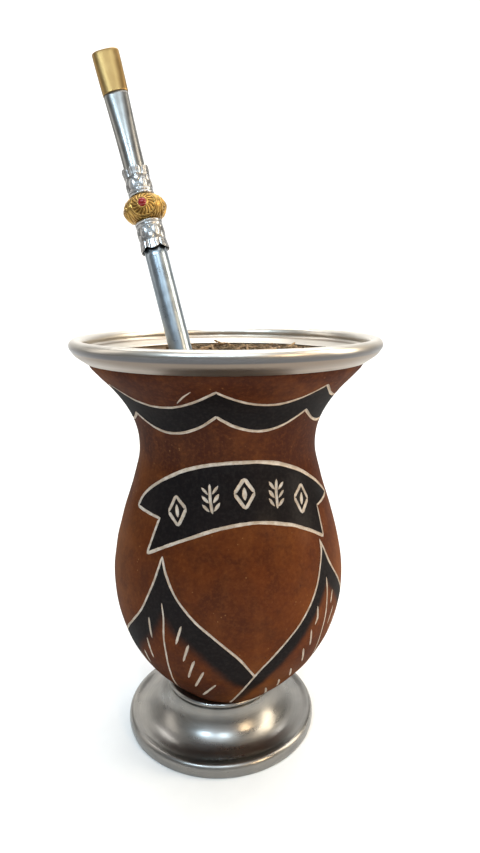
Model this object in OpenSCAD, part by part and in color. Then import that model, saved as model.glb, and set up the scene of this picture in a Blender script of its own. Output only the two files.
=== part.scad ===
// A mate drink in its footed gourd cup, with a metal lip, a metal foot and a metal straw.
// Origin: on the table, under the centre of the lip. +Z up, millimetres.

/* [Gourd] */
// Radius of the belly
belly_r = 43.7; // [42.5:0.1:44.5]
// Height of the widest place of the belly
belly_z = 65; // [63:0.5:67]
// Radius of the waist under the flared mouth
waist_r = 32.3; // [31:0.1:33.5]
// Height of the waist
waist_z = 114.5; // [113:0.5:116]
// Radius of the gourd's own lip, under the metal
lip_r = 49.1; // [48.6:0.1:49.2]
// Height of the gourd's own lip
lip_z = 147; // [147:1:147]
// Height of the rounded bottom above the table
bottom_z = 10.5; // [10.5:0.5:11]
// Thickness of the gourd's wall
wall = 3.6; // [3:0.1:4.5]

/* [Metal lip] */
// Outer radius of the rolled bead
rim_r = 55; // [54.8:0.1:55.5]
// Radius of the bead's section
bead_r = 2.2; // [2:0.1:2.3]
// Height of the top of the bead
rim_top = 153.5; // [153.3:0.1:154]
// Radius of the lower edge of the skirt outside
skirt_r = 49.8; // [49.8:0.1:50.2]
// Height of the lower edge of the skirt
skirt_z = 145.6; // [145:0.1:146]
// Radius of the lower edge of the lining inside
lining_r = 45.4; // [45.3:0.1:45.8]

/* [Foot] */
// Outer radius of the foot
foot_r = 37.3; // [36.5:0.1:38]
// How far the foot's axis stands to the left of the gourd's
foot_shift = 3.4; // [0:0.1:4]
// Radius of the bead that cradles the gourd
collar_r = 21.4; // [21:0.1:22]
// Height of the middle of that bead
collar_z = 17.2; // [16.8:0.1:17.6]
// Thickness of the spun metal
sheet = 1.4; // [1.2:0.1:1.6]

/* [Contents] */
// Height of the leaf heap where it meets the wall, on its high side
heap_high = 146.4; // [145.5:0.1:146.8]
// Height of the leaf heap on its low side
heap_low = 144.3; // [143.5:0.1:145]
// Depth of the wet hollow round the straw
hollow_depth = 8; // [7:0.5:9]
// Level of the infusion that stands in the hollow
level = 141; // [140.5:0.5:141.5]

/* [Straw] */
// Outer diameter of the round tube
tube_d = 8; // [7.8:0.1:8.2]
// Bore of the tube
bore_d = 6.4; // [6:0.1:6.6]
// Length of the whole straw
straw_len = 213.5; // [212:0.5:214]
// Lean of the straw from upright, in degrees
lean = 18.45; // [17.5:0.05:19.5]
// Diameter of the ball
ball_d = 15.5; // [15:0.1:16]
// Length of the ball along the straw
ball_len = 10.8; // [10.4:0.1:11]
// Diameter of the two collars
collar_d = 9.7; // [9.4:0.1:10]
// Width of the mouthpiece at its end
lip_w = 9.4; // [9:0.1:10]
// Thickness of the mouthpiece at its end
lip_t = 4.4; // [4.2:0.1:5]

/* [Hidden] */
$fn = 96;

// ---- curves ----
// Smooth curve through [z, r] knots: cubic pieces with slopes taken from both neighbours.
function slope(k, i) =
    i == 0 ? (k[1][1] - k[0][1]) / (k[1][0] - k[0][0])
    : i == len(k) - 1 ? (k[i][1] - k[i - 1][1]) / (k[i][0] - k[i - 1][0])
    : let (h0 = k[i][0] - k[i - 1][0], h1 = k[i + 1][0] - k[i][0],
           d0 = (k[i][1] - k[i - 1][1]) / h0, d1 = (k[i + 1][1] - k[i][1]) / h1)
      (d0 * h1 + d1 * h0) / (h0 + h1);
function piece(k, i, z) =
    let (h = k[i + 1][0] - k[i][0], t = (z - k[i][0]) / h, a = slope(k, i), b = slope(k, i + 1))
    k[i][1] * (1 + 2 * t) * (1 - t) * (1 - t) + a * h * t * (1 - t) * (1 - t)
    + k[i + 1][1] * t * t * (3 - 2 * t) + b * h * t * t * (t - 1);
function at(k, z, i = 0) = i >= len(k) - 2 || z <= k[i + 1][0] ? piece(k, i, z) : at(k, z, i + 1);

// ---- gourd ----
bowl_arc = 45;
bowl_R = 30.2;
join_z = bottom_z + bowl_R * (1 - cos(bowl_arc));
join_r = bowl_R * sin(bowl_arc);
gourd_knots = [
    [join_z, join_r], [join_z + 5, 0.603 * belly_r], [30, 0.714 * belly_r], [41, 0.877 * belly_r], [53, 0.972 * belly_r],
    [belly_z, belly_r], [78, 0.965 * belly_r], [90, 0.892 * belly_r], [102, 1.083 * waist_r], [waist_z, waist_r],
    [122, 1.026 * waist_r], [129, 1.114 * waist_r], [136, 1.264 * waist_r], [141.5, lip_r - 3.1], [144.2, lip_r - 0.8],
    [lip_z, lip_r]];
gourd_steps = 54;
gourd_wall = concat(
    [for (a = [0:5:bowl_arc - 2]) [bowl_R * sin(a), bottom_z + bowl_R * (1 - cos(a))]],
    [for (i = [0:gourd_steps]) let (z = join_z + (lip_z - join_z) * i / gourd_steps) [at(gourd_knots, z), z]]);
function unit(v) = v / norm(v);
// The same wall moved inwards by d.
function inward(p, d) = [for (i = [0:len(p) - 1])
    let (t = unit(p[min(i + 1, len(p) - 1)] - p[max(i - 1, 0)]), q = p[i] + d * [-t[1], t[0]])
    [i == 0 ? 0 : max(q[0], 0), min(q[1], lip_z)]];
inner_wall = [for (p = inward(gourd_wall, wall)) if (p[1] < lip_z - 0.05) p];
inner_lip = inner_wall[len(inner_wall) - 1][0] + 0.1;

module gourd_solid(grow = 0) {
    rotate_extrude() polygon(concat(inward(gourd_wall, -grow), [[0, lip_z]]));
}
module hollow(shrink, top) {
    p = [for (q = inward(gourd_wall, wall + shrink)) if (q[1] < top - 0.3) q];
    rotate_extrude() polygon(concat(p, [[at_inner(top, shrink), top], [0, top]]));
}
// Radius of the inner wall at height z, less the gap.
function at_inner(z, shrink) =
    let (p = inward(gourd_wall, wall + shrink), n = [for (i = [1:len(p) - 1]) if (p[i - 1][1] < z && p[i][1] >= z) i])
    len(n) == 0 ? p[len(p) - 1][0]
    : let (a = p[n[0] - 1], b = p[n[0]]) a[0] + (b[0] - a[0]) * (z - a[1]) / (b[1] - a[1]);

module gourd() {
    color("saddlebrown")
        rotate_extrude() polygon(concat(gourd_wall, [[inner_lip, lip_z]],
            [for (i = [len(inner_wall) - 1:-1:0]) inner_wall[i]]));
}

// ---- metal lip: skirt outside, rolled bead on top, sloping lining inside ----
bead_c = [rim_r - bead_r, rim_top - bead_r];
crease = 42;
module rim() {
    out = bead_c + bead_r * [cos(-crease), sin(-crease)];
    back = bead_c + bead_r * [cos(210), sin(210)];
    color("silver")
        rotate_extrude() polygon(concat(
            [[skirt_r - 0.55, skirt_z], [skirt_r, skirt_z + 0.1], [skirt_r + 0.9, skirt_z + 0.75]],
            [[skirt_r + 0.62 * (out[0] - skirt_r) + 0.25, skirt_z + 0.58 * (out[1] - skirt_z) - 0.1]],
            [for (a = [-crease:14:210]) bead_c + bead_r * [cos(a), sin(a)]],
            [[back[0] - 1.4, back[1] - 0.95], [lining_r + 1.6, lip_z + 1.05], [lining_r + 0.3, lip_z + 0.55], [lining_r, lip_z + 0.3], [lining_r, lip_z]],
            [[lip_r + 0.05, lip_z], [lip_r - 0.05, skirt_z + 0.5]]));
}

// ---- foot: spun trumpet, hollow beneath, with a bead that cradles the gourd ----
foot_side = [[foot_r - 0.5, 0], [foot_r - 0.15, 0.5], [foot_r, 2], [foot_r - 0.15, 3.7], [foot_r - 0.8, 4.8], [foot_r - 1.6, 5.2],
    [foot_r - 2.4, 5], [foot_r - 3.6, 4.5], [foot_r - 5, 4.35], [foot_r - 7, 4.6], [foot_r - 9, 5.3], [foot_r - 11, 6.5],
    [foot_r - 12.8, 8.1], [foot_r - 14.2, 10], [foot_r - 15.2, 11.9], [foot_r - 15.9, 13.8], [foot_r - 16.3, 15.4]];
module foot() {
    color("lightsteelblue")
        difference() {
            translate([-foot_shift, 0, 0])
                rotate_extrude() polygon(concat(
                    foot_side,
                    [for (a = [-70:20:90]) [collar_r - 1.1, collar_z] + 1.1 * [cos(a), sin(a)]],
                    [[0, collar_z + 1.1], [0, bottom_z - 1.9], [13, bottom_z - 1.9], [17.4, bottom_z - 2.4]],
                    [for (i = [len(foot_side) - 4:-1:7]) foot_side[i] - sheet * [0.75 + 0.02 * i, 1.25 - 0.06 * i]],
                    [[foot_r - 3.9, 3], [foot_r - 3.4, 2.2], [foot_r - 3.4, 0.4], [foot_r - 3.1, 0]]));
            gourd_solid(0.04);
        }
}

// ---- straw: its own axis starts at its lower end, and x runs across the flat mouthpiece ----
straw_foot = [8.6, -27, 48.5];
heading = 137.8;
module along() {
    translate(straw_foot) rotate([0, 0, heading]) rotate([0, lean, 0]) rotate([0, 0, -heading]) children();
}
tube_top = straw_len - 70.5;
ball_mid = straw_len - 57;
collar_len = 10.2;
lower_z = ball_mid - 4.7 - collar_len;
upper_z = ball_mid + 4.7;
upper_len = 9.6;
neck_z = upper_z + upper_len - 1.2;
gold_z = straw_len - 15.5;

module straw_tube() {
    color("silver")
        along() difference() {
            cylinder(d = tube_d, h = tube_top);
            translate([0, 0, -1]) cylinder(d = bore_d, h = tube_top + 2);
        }
}

// A collar with a bead at each end and a scalloped crown at its flared end (z = 0).
petals = 6;
module crown_collar(len) {
    r = collar_d / 2;
    difference() {
        rotate_extrude() polygon(concat(
            [[bore_d / 2, 0], [r + 0.15, 0], [r + 0.3, 0.35], [r + 0.25, 1], [r + 0.05, 1.7], [r - 0.05, 2.1]],
            [for (a = [-90:30:90]) [r - 0.05, 2.6] + 0.4 * [cos(a), sin(a)]],
            [[r - 0.12, 3.2], [r + 0.05, len / 2 + 1], [r - 0.12, len - 1.7]],
            [for (a = [-90:30:90]) [r - 0.15, len - 1] + 0.55 * [cos(a), sin(a)]],
            [[r - 0.5, len], [bore_d / 2, len]]));
        for (i = [0:petals - 1]) rotate([0, 0, (i + 0.5) * 360 / petals])
            translate([r + 0.55, 0, -0.6]) rotate([0, -18, 0]) cylinder(d = 1.5, h = 2, $fn = 24);
    }
}
module tube_seat(z0, z1) { translate([0, 0, z0]) cylinder(d = tube_d + 0.04, h = z1 - z0); }

module straw_collar_lower() {
    color("silver")
        along() difference() {
            translate([0, 0, lower_z]) crown_collar(collar_len);
            tube_seat(lower_z - 1, tube_top + 0.02);
        }
}
ball_ribs = 24;
ball_a = ball_d / 2;
ball_b = ball_len / 2;
stone_r = 1.65;
module straw_ball() {
    color("goldenrod")
        along() difference() {
            translate([0, 0, ball_mid])
                rotate_extrude() polygon(concat(
                    [[bore_d / 2, -4.65]],
                    [for (a = [-58:4:58]) [ball_a * cos(a), ball_b * sin(a)]],
                    [[bore_d / 2, 4.65]]));
            // round seat for the stone
            translate([0.1, -ball_a + 2.1, ball_mid]) rotate([90, 0, 0]) cylinder(d = 2 * stone_r + 0.06, h = 4);
        }
}
module straw_stone() { color("firebrick") along() translate([0.1, -ball_a + 0.45, ball_mid]) sphere(r = stone_r, $fn = 48); }

module straw_collar_upper() {
    color("silver")
        along() difference() {
            translate([0, 0, upper_z + upper_len]) mirror([0, 0, 1]) crown_collar(upper_len);
            translate([0, 0, neck_z]) cylinder(d = 7.66, h = 5);
        }
}

// A flat oval of width w and thickness t, whose sides are straighter than an ellipse's; n = 2 is a true ellipse.
sides = 40;
function oval(w, t, n) = [for (i = [0:sides - 1]) let (a = 360 * i / sides, c = cos(a), s = sin(a))
    [w / 2 * sign(c) * pow(abs(c), 2 / n), t / 2 * sign(s) * pow(abs(s), 2 / n)]];
// Skin through ovals [z, width, thickness, n].
module skin(rows) {
    n = len(rows);
    pts = [for (r = rows) for (p = oval(r[1], r[2], r[3])) [p[0], p[1], r[0]]];
    polyhedron(pts, concat(
        [[for (i = [0:sides - 1]) i]],
        [for (j = [0:n - 2]) for (i = [0:sides - 1]) let (k = (i + 1) % sides)
            each [[j * sides + i, (j + 1) * sides + i, j * sides + k], [j * sides + k, (j + 1) * sides + i, (j + 1) * sides + k]]],
        [[for (i = [sides - 1:-1:0]) (n - 1) * sides + i]]));
}
// Width and thickness of the flattened part at height z, blended from the round neck to the end.
function blend(z) = let (t = (z - neck_z) / (straw_len - neck_z)) t * t * (3 - 2 * t);
function flat_w(z) = 7.6 + (lip_w - 7.6) * blend(z) * (0.75 + 0.25 * blend(z));
function flat_t(z) = 7.6 + (lip_t - 7.6) * blend(z);
function flat_n(z) = 2 + 0.5 * blend(z);
function rows(z0, z1, n, cut) = [for (i = [0:n]) let (z = z0 + (z1 - z0) * i / n) [z, flat_w(z) - cut, flat_t(z) - cut, flat_n(z)]];

module straw_neck() {
    color("silver")
        along() difference() {
            skin(rows(neck_z, gold_z, 9, 0));
            skin(rows(neck_z - 0.5, gold_z + 0.5, 9, 1.8));
        }
}
module mouthpiece() {
    end = [[straw_len - 0.9, lip_w + 0.02, lip_t + 0.05, 2.5], [straw_len - 0.35, lip_w - 0.25, lip_t - 0.25, 2.5], [straw_len, lip_w - 1.1, lip_t - 1.1, 2.4]];
    color("gold")
        along() difference() {
            skin(concat([for (r = rows(gold_z, straw_len - 1.8, 6, -0.3)) r], end));
            skin(rows(gold_z - 0.5, straw_len + 0.5, 6, 1.8));
        }
}

// ---- contents ----
gap = 0.05;
entry = [-13.6, -5.2];
function bump(x, y, cx, cy, w) = exp(-(pow(x - cx, 2) + pow(y - cy, 2)) / (2 * w * w));
function grain(x, y) = 0.28 * sin(x * 23 + 40 * sin(y * 9)) * cos(y * 19 - 30 * sin(x * 7)) + 0.22 * sin(x * 41 + y * 33);
function side_of(x, y) = let (t = max(0, min(1, (x * 0.72 + y * 0.69 + 30) / 52))) t * t * (3 - 2 * t);
function heap_z(x, y) =
    heap_low + (heap_high - heap_low) * side_of(x, y)
    - hollow_depth * bump(x, y, entry[0], entry[1], 8.5)
    + grain(x, y) * (1 - bump(x, y, entry[0], entry[1], 8));
heap_rings = 14;
heap_sides = 48;
heap_R = 49;
// The heap's uneven top, as a block from well below it up to the leaf surface.
module heap_block() {
    n = heap_sides;
    pts = concat(
        [[0, 0, heap_z(0, 0)]],
        [for (j = [1:heap_rings]) for (i = [0:n - 1])
            let (a = 360 * (i + 0.5 * (j % 2)) / n, r = heap_R * j / heap_rings, x = r * cos(a), y = r * sin(a)) [x, y, heap_z(x, y)]],
        [for (i = [0:n - 1]) let (a = 360 * (i + 0.5 * (heap_rings % 2)) / n) [heap_R * cos(a), heap_R * sin(a), 120]]);
    top = [for (i = [0:n - 1]) [0, 1 + (i + 1) % n, 1 + i]];
    // On every second ring the points stand half a step further round.
    band = [for (j = [1:heap_rings - 1]) for (i = [0:n - 1])
        let (a = 1 + (j - 1) * n, b = 1 + j * n, k = (i + 1) % n)
        each (j % 2 == 1
            ? [[a + i, a + k, b + k], [a + i, b + k, b + i]]
            : [[a + i, a + k, b + i], [a + k, b + k, b + i]])];
    b = 1 + (heap_rings - 1) * n;
    c = b + n;
    wall_f = [for (i = [0:n - 1]) let (k = (i + 1) % n) each [[b + i, b + k, c + k], [b + i, c + k, c + i]]];
    floor_f = [[for (i = [0:n - 1]) c + i]];
    polyhedron(pts, concat(top, band, wall_f, floor_f));
}
module straw_room() { along() translate([0, 0, -0.05]) cylinder(d = tube_d + 0.1, h = 130); }

module yerba() {
    color("peru")
        difference() {
            union() {
                hollow(gap, 130);
                intersection() {
                    difference() { hollow(gap, 146.95); translate([0, 0, 60]) cube([200, 200, 139.98], center = true); }
                    heap_block();
                }
            }
            straw_room();
        }
}
module infusion() {
    color("olivedrab")
        difference() {
            translate([entry[0], entry[1], level - 7]) cylinder(r = 14, h = 7);
            heap_block();
            straw_room();
        }
}

gourd();
rim();
foot();
yerba();
infusion();
straw_tube();
straw_collar_lower();
straw_ball();
straw_stone();
straw_collar_upper();
straw_neck();
mouthpiece();
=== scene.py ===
import math
import random

import bmesh
import bpy
import numpy as np
from mathutils import Matrix, Vector
from mathutils.geometry import delaunay_2d_cdt


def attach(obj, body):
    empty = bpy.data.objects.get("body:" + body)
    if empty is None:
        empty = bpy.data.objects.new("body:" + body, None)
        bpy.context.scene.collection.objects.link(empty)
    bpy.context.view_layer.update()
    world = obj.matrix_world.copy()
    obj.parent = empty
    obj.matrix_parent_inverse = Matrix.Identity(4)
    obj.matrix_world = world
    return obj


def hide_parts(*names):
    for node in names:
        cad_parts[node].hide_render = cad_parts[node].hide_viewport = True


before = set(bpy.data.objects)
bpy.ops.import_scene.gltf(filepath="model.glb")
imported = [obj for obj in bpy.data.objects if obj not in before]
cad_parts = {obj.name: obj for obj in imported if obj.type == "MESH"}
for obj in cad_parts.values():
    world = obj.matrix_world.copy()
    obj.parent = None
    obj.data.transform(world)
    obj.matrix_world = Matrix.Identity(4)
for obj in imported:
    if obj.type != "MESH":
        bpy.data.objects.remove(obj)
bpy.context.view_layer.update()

MM = 0.001
rng = np.random.default_rng(11)

# ------------------------------------------------------------------ helpers


def smooth(t):
    t = np.clip(t, 0.0, 1.0)
    return t * t * (3 - 2 * t)


class Wave:
    """Smooth random field in 3-D, from a few dozen fixed sine waves; size is the rough width of its blobs in mm."""

    def __init__(self, size, seed, n=24):
        r = np.random.default_rng(seed)
        d = r.normal(size=(n, 3))
        d /= np.linalg.norm(d, axis=1)[:, None]
        self.k = d * (2 * math.pi / (size * r.uniform(0.75, 1.6, n)))[:, None]
        self.p = r.uniform(0, 2 * math.pi, n)

    def __call__(self, pts):
        return np.sin(pts @ self.k.T + self.p).sum(-1) / math.sqrt(len(self.p) / 2)


def make(name, verts, faces, mats, node=None, index=None, smooth_shade=True, sharp=None, extra_nodes=()):
    """A mesh piece from points in mm."""
    me = bpy.data.meshes.new(name)
    me.from_pydata((np.asarray(verts, float) * MM).tolist(), [], [tuple(int(i) for i in f) for f in faces])
    for m in mats:
        me.materials.append(m)
    if index is not None:
        me.polygons.foreach_set("material_index", np.asarray(index, np.int32))
    me.polygons.foreach_set("use_smooth", np.full(len(me.polygons), smooth_shade))
    if sharp:
        want = {tuple(sorted(e)) for e in sharp}
        att = me.attributes.new("sharp_edge", "BOOLEAN", "EDGE")
        ed = np.empty(len(me.edges) * 2, np.int32)
        me.edges.foreach_get("vertices", ed)
        ed = np.sort(ed.reshape(-1, 2), axis=1)
        att.data.foreach_set("value", np.array([(a, b) in want for a, b in ed.tolist()], bool))
    me.update()
    me.validate()
    bm = bmesh.new()
    bm.from_mesh(me)
    bmesh.ops.recalc_face_normals(bm, faces=bm.faces)
    bm.to_mesh(me)
    bm.free()
    o = bpy.data.objects.new(name, me)
    bpy.context.scene.collection.objects.link(o)
    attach(o, "root")
    if node:
        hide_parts(node, *extra_nodes)
    return o


def attribute(o, name, values):
    att = o.data.attributes.new(name, "FLOAT", "POINT")
    att.data.foreach_set("value", np.asarray(values, np.float32))


def lathe(section, n, wobble=None, center=(0.0, 0.0), closed=True):
    """Points and quads of a section [(r, z)] turned round the z axis. wobble(angle, r, z) may move the section."""
    sec = np.asarray(section, float)
    m = len(sec)
    a = np.linspace(0, 2 * math.pi, n, endpoint=False)
    R = np.tile(sec[:, 0], (n, 1))
    Z = np.tile(sec[:, 1], (n, 1))
    if wobble:
        R, Z = wobble(a[:, None] + 0 * R, R, Z)
    pts = np.stack([center[0] + R * np.sin(a)[:, None], center[1] - R * np.cos(a)[:, None], Z], -1).reshape(-1, 3)
    faces = []
    rows = m if closed else m - 1
    for i in range(n):
        k = (i + 1) % n
        for j in range(rows):
            l = (j + 1) % m
            faces.append((i * m + j, k * m + j, k * m + l, i * m + l))
    return pts, faces


def arc(cx, cz, r, a0, a1, step=4.0):
    n = max(2, int(abs(a1 - a0) / step) + 1)
    return [(cx + r * math.cos(math.radians(a)), cz + r * math.sin(math.radians(a))) for a in np.linspace(a0, a1, n)]


def spline(points, per=8, closed=False):
    """Centripetal-like Catmull-Rom through 2-D points."""
    p = [np.asarray(q, float) for q in points]
    n = len(p)
    out = []
    for i in range(n if closed else n - 1):
        p0 = p[(i - 1) % n] if closed or i > 0 else 2 * p[0] - p[1]
        p1, p2 = p[i], p[(i + 1) % n]
        p3 = p[(i + 2) % n] if closed or i + 2 < n else 2 * p[-1] - p[-2]
        for k in range(per):
            t = k / per
            out.append(0.5 * (2 * p1 + (p2 - p0) * t + (2 * p0 - 5 * p1 + 4 * p2 - p3) * t * t + (3 * p1 - p0 - 3 * p2 + p3) * t ** 3))
    if not closed:
        out.append(p[-1])
    return np.array(out)


# ------------------------------------------------------------------ materials


class Tree:
    """A small hand for writing shader nodes."""

    def __init__(self, name):
        self.mat = bpy.data.materials.new(name)
        self.mat.use_nodes = True
        self.nt = self.mat.node_tree
        self.nt.nodes.clear()
        self.out = self.nt.nodes.new("ShaderNodeOutputMaterial")
        self.bsdf = self.nt.nodes.new("ShaderNodeBsdfPrincipled")
        self.nt.links.new(self.bsdf.outputs[0], self.out.inputs[0])

    def put(self, value, socket):
        if isinstance(value, bpy.types.NodeSocket):
            self.nt.links.new(value, socket)
        elif value is not None:
            if isinstance(value, (tuple, list)) and len(value) == 3 and socket.type == "RGBA":
                value = (*value, 1.0)
            socket.default_value = value

    def set(self, **kw):
        for k, v in kw.items():
            self.put(v, self.bsdf.inputs[k.replace("_", " ")])
        return self

    def coords(self):
        return self.nt.nodes.new("ShaderNodeTexCoord").outputs["Object"]

    def attr(self, name):
        n = self.nt.nodes.new("ShaderNodeAttribute")
        n.attribute_name = name
        return n.outputs["Fac"]

    def math(self, op, a, b=0.5, c=None, clamp=False):
        n = self.nt.nodes.new("ShaderNodeMath")
        n.operation = op
        n.use_clamp = clamp
        self.put(a, n.inputs[0])
        self.put(b, n.inputs[1])
        if c is not None:
            self.put(c, n.inputs[2])
        return n.outputs[0]

    def vmath(self, op, a, b):
        n = self.nt.nodes.new("ShaderNodeVectorMath")
        n.operation = op
        self.put(a, n.inputs[0])
        self.put(b, n.inputs[1])
        return n.outputs[0]

    def split(self, v):
        n = self.nt.nodes.new("ShaderNodeSeparateXYZ")
        self.put(v, n.inputs[0])
        return n.outputs[0], n.outputs[1], n.outputs[2]

    def join(self, x, y, z):
        n = self.nt.nodes.new("ShaderNodeCombineXYZ")
        for s, v in zip(n.inputs, (x, y, z)):
            self.put(v, s)
        return n.outputs[0]

    def noise(self, vector, scale, detail=2.0, rough=0.5, distort=0.0):
        n = self.nt.nodes.new("ShaderNodeTexNoise")
        self.put(vector, n.inputs["Vector"])
        n.inputs["Scale"].default_value = scale
        n.inputs["Detail"].default_value = detail
        n.inputs["Roughness"].default_value = rough
        n.inputs["Distortion"].default_value = distort
        return n.outputs[0]

    def cells(self, vector, scale, feature="F1", out="Distance", rand=1.0):
        n = self.nt.nodes.new("ShaderNodeTexVoronoi")
        n.feature = feature
        self.put(vector, n.inputs["Vector"])
        n.inputs["Scale"].default_value = scale
        n.inputs["Randomness"].default_value = rand
        return n.outputs[out]

    def ramp(self, v, lo, hi, a=0.0, b=1.0):
        n = self.nt.nodes.new("ShaderNodeMapRange")
        n.interpolation_type = "SMOOTHSTEP"
        for s, x in zip(n.inputs, (v, lo, hi, a, b)):
            self.put(x, s)
        return n.outputs[0]

    def mix(self, f, a, b, kind="MIX"):
        n = self.nt.nodes.new("ShaderNodeMix")
        n.data_type = "RGBA"
        n.blend_type = kind
        ins = [s for s in n.inputs if s.type == "RGBA"]
        self.put(f, n.inputs[0])
        self.put(a, ins[0])
        self.put(b, ins[1])
        return [s for s in n.outputs if s.type == "RGBA"][0]

    def bump(self, height, strength, distance, normal=None):
        n = self.nt.nodes.new("ShaderNodeBump")
        n.inputs["Strength"].default_value = strength
        n.inputs["Distance"].default_value = distance
        self.put(height, n.inputs["Height"])
        if normal is not None:
            self.put(normal, n.inputs["Normal"])
        return n.outputs[0]


def gourd_skin():
    t = Tree("gourd_skin")
    P = t.coords()
    x, y, z = t.split(P)
    dark = t.attr("dark")
    big = t.noise(P, 38.0, 3.0, 0.55, 0.4)
    mid = t.noise(P, 120.0, 4.0, 0.6, 0.3)
    streak = t.noise(t.join(t.math("MULTIPLY", x, 1.0), t.math("MULTIPLY", y, 1.0), t.math("MULTIPLY", z, 0.22)), 190.0, 3.0, 0.55)
    fine = t.noise(P, 900.0, 3.0, 0.6)
    # from the reddish dark neck down to the lighter belly
    belly = t.ramp(t.math("ABSOLUTE", t.math("SUBTRACT", z, 0.066)), 0.012, 0.052, 1.0, 0.0)
    neck = t.ramp(z, 0.108, 0.136, 0.0, 1.0)
    foot = t.ramp(z, 0.026, 0.052, 1.0, 0.0)
    base = t.mix(belly, (0.040, 0.0104, 0.0043), (0.079, 0.0196, 0.0051))
    base = t.mix(t.math("MULTIPLY", neck, 0.75), base, (0.046, 0.0128, 0.0062))
    # darker towards the bottom: painted shade on the lower bowl
    base = t.mix(t.math("MULTIPLY", foot, 0.8), base, (0.036, 0.0110, 0.0060))
    base = t.mix(t.ramp(big, 0.46, 0.70, 0.0, 0.70), base, (0.116, 0.0350, 0.0088))
    base = t.mix(t.ramp(big, 0.50, 0.30, 0.0, 0.55), base, (0.036, 0.0115, 0.0058))
    base = t.mix(t.ramp(streak, 0.48, 0.74, 0.0, 0.28), base, (0.120, 0.0400, 0.0115))
    base = t.mix(t.ramp(mid, 0.54, 0.36, 0.0, 0.42), base, (0.034, 0.0100, 0.0052))
    grain = t.noise(P, 820.0, 4.0, 0.7)
    base = t.mix(t.ramp(grain, 0.46, 0.70, 0.0, 0.26), base, (0.150, 0.0490, 0.0130))
    base = t.mix(t.ramp(grain, 0.50, 0.32, 0.0, 0.26), base, (0.030, 0.0085, 0.0045))
    # painted warm light, drawn as paler, more golden skin low on the right of the front and again behind
    painted_warm_light = t.math("MULTIPLY", t.ramp(t.noise(P, 16.0, 2.0, 0.5), 0.42, 0.62), t.ramp(z, 0.104, 0.076))
    base = t.mix(t.math("MULTIPLY", painted_warm_light, 0.42), base, (0.185, 0.0600, 0.0125))
    specks = t.cells(P, 420.0)
    base = t.mix(t.math("MULTIPLY", t.ramp(specks, 0.15, 0.06, 0.0, 0.6), t.ramp(mid, 0.47, 0.60)), base, (0.21, 0.095, 0.034))
    pits = t.cells(t.vmath("ADD", P, (0.31, 0.17, 0.05)), 260.0)
    pit = t.math("MULTIPLY", t.ramp(pits, 0.13, 0.05), t.ramp(big, 0.45, 0.6))
    base = t.mix(t.math("MULTIPLY", pit, 0.7), base, (0.035, 0.012, 0.007))
    # burnt fields, whose soft edges are scorched in patches
    edge = t.math("ADD", dark, t.math("MULTIPLY", t.math("MULTIPLY", t.math("SUBTRACT", mid, 0.5), 0.55), t.ramp(dark, 0.0, 0.25)))
    burnt = t.ramp(edge, 0.10, 0.86)
    char = t.mix(t.ramp(fine, 0.4, 0.7), (0.0050, 0.0050, 0.0056), (0.0100, 0.0094, 0.0092))
    base = t.mix(t.math("MULTIPLY", burnt, 0.97), base, char)
    rough = t.ramp(mid, 0.3, 0.7, 0.34, 0.46)
    rough = t.math("ADD", rough, t.math("MULTIPLY", burnt, 0.10))
    rough = t.math("ADD", rough, t.ramp(fine, 0.35, 0.75, -0.03, 0.06))
    b = t.bump(mid, 0.35, 0.0006)
    b = t.bump(fine, 0.30, 0.00012, b)
    b = t.bump(pit, 0.6, -0.00012, b)
    t.set(Base_Color=base, Roughness=rough, Normal=b, Coat_Weight=0.10, Coat_Roughness=0.30, Coat_IOR=1.5, Specular_IOR_Level=0.0)
    return t.mat


def cut_line():
    t = Tree("gourd_cut")
    P = t.coords()
    n1 = t.noise(P, 420.0, 4.0, 0.65)
    n2 = t.noise(P, 1500.0, 2.0, 0.6)
    deep = t.attr("deep")
    c = t.mix(t.ramp(n1, 0.35, 0.68), (0.36, 0.285, 0.215), (0.52, 0.455, 0.385))
    c = t.mix(t.ramp(n2, 0.58, 0.78, 0.0, 0.5), c, (0.20, 0.125, 0.075))
    c = t.mix(t.ramp(deep, 0.35, 0.0, 0.0, 0.30), c, (0.23, 0.15, 0.10))
    t.set(Base_Color=c, Roughness=t.ramp(n1, 0.3, 0.7, 0.62, 0.8), Normal=t.bump(n2, 0.5, 0.00015), Specular_IOR_Level=0.3)
    return t.mat


def gourd_inside():
    t = Tree("gourd_inside")
    P = t.coords()
    n = t.noise(P, 160.0, 4.0, 0.6)
    c = t.mix(t.ramp(n, 0.35, 0.7), (0.075, 0.043, 0.020), (0.16, 0.10, 0.05))
    t.set(Base_Color=c, Roughness=t.ramp(n, 0.3, 0.7, 0.7, 0.88), Normal=t.bump(n, 0.5, 0.0005))
    return t.mat


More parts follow.
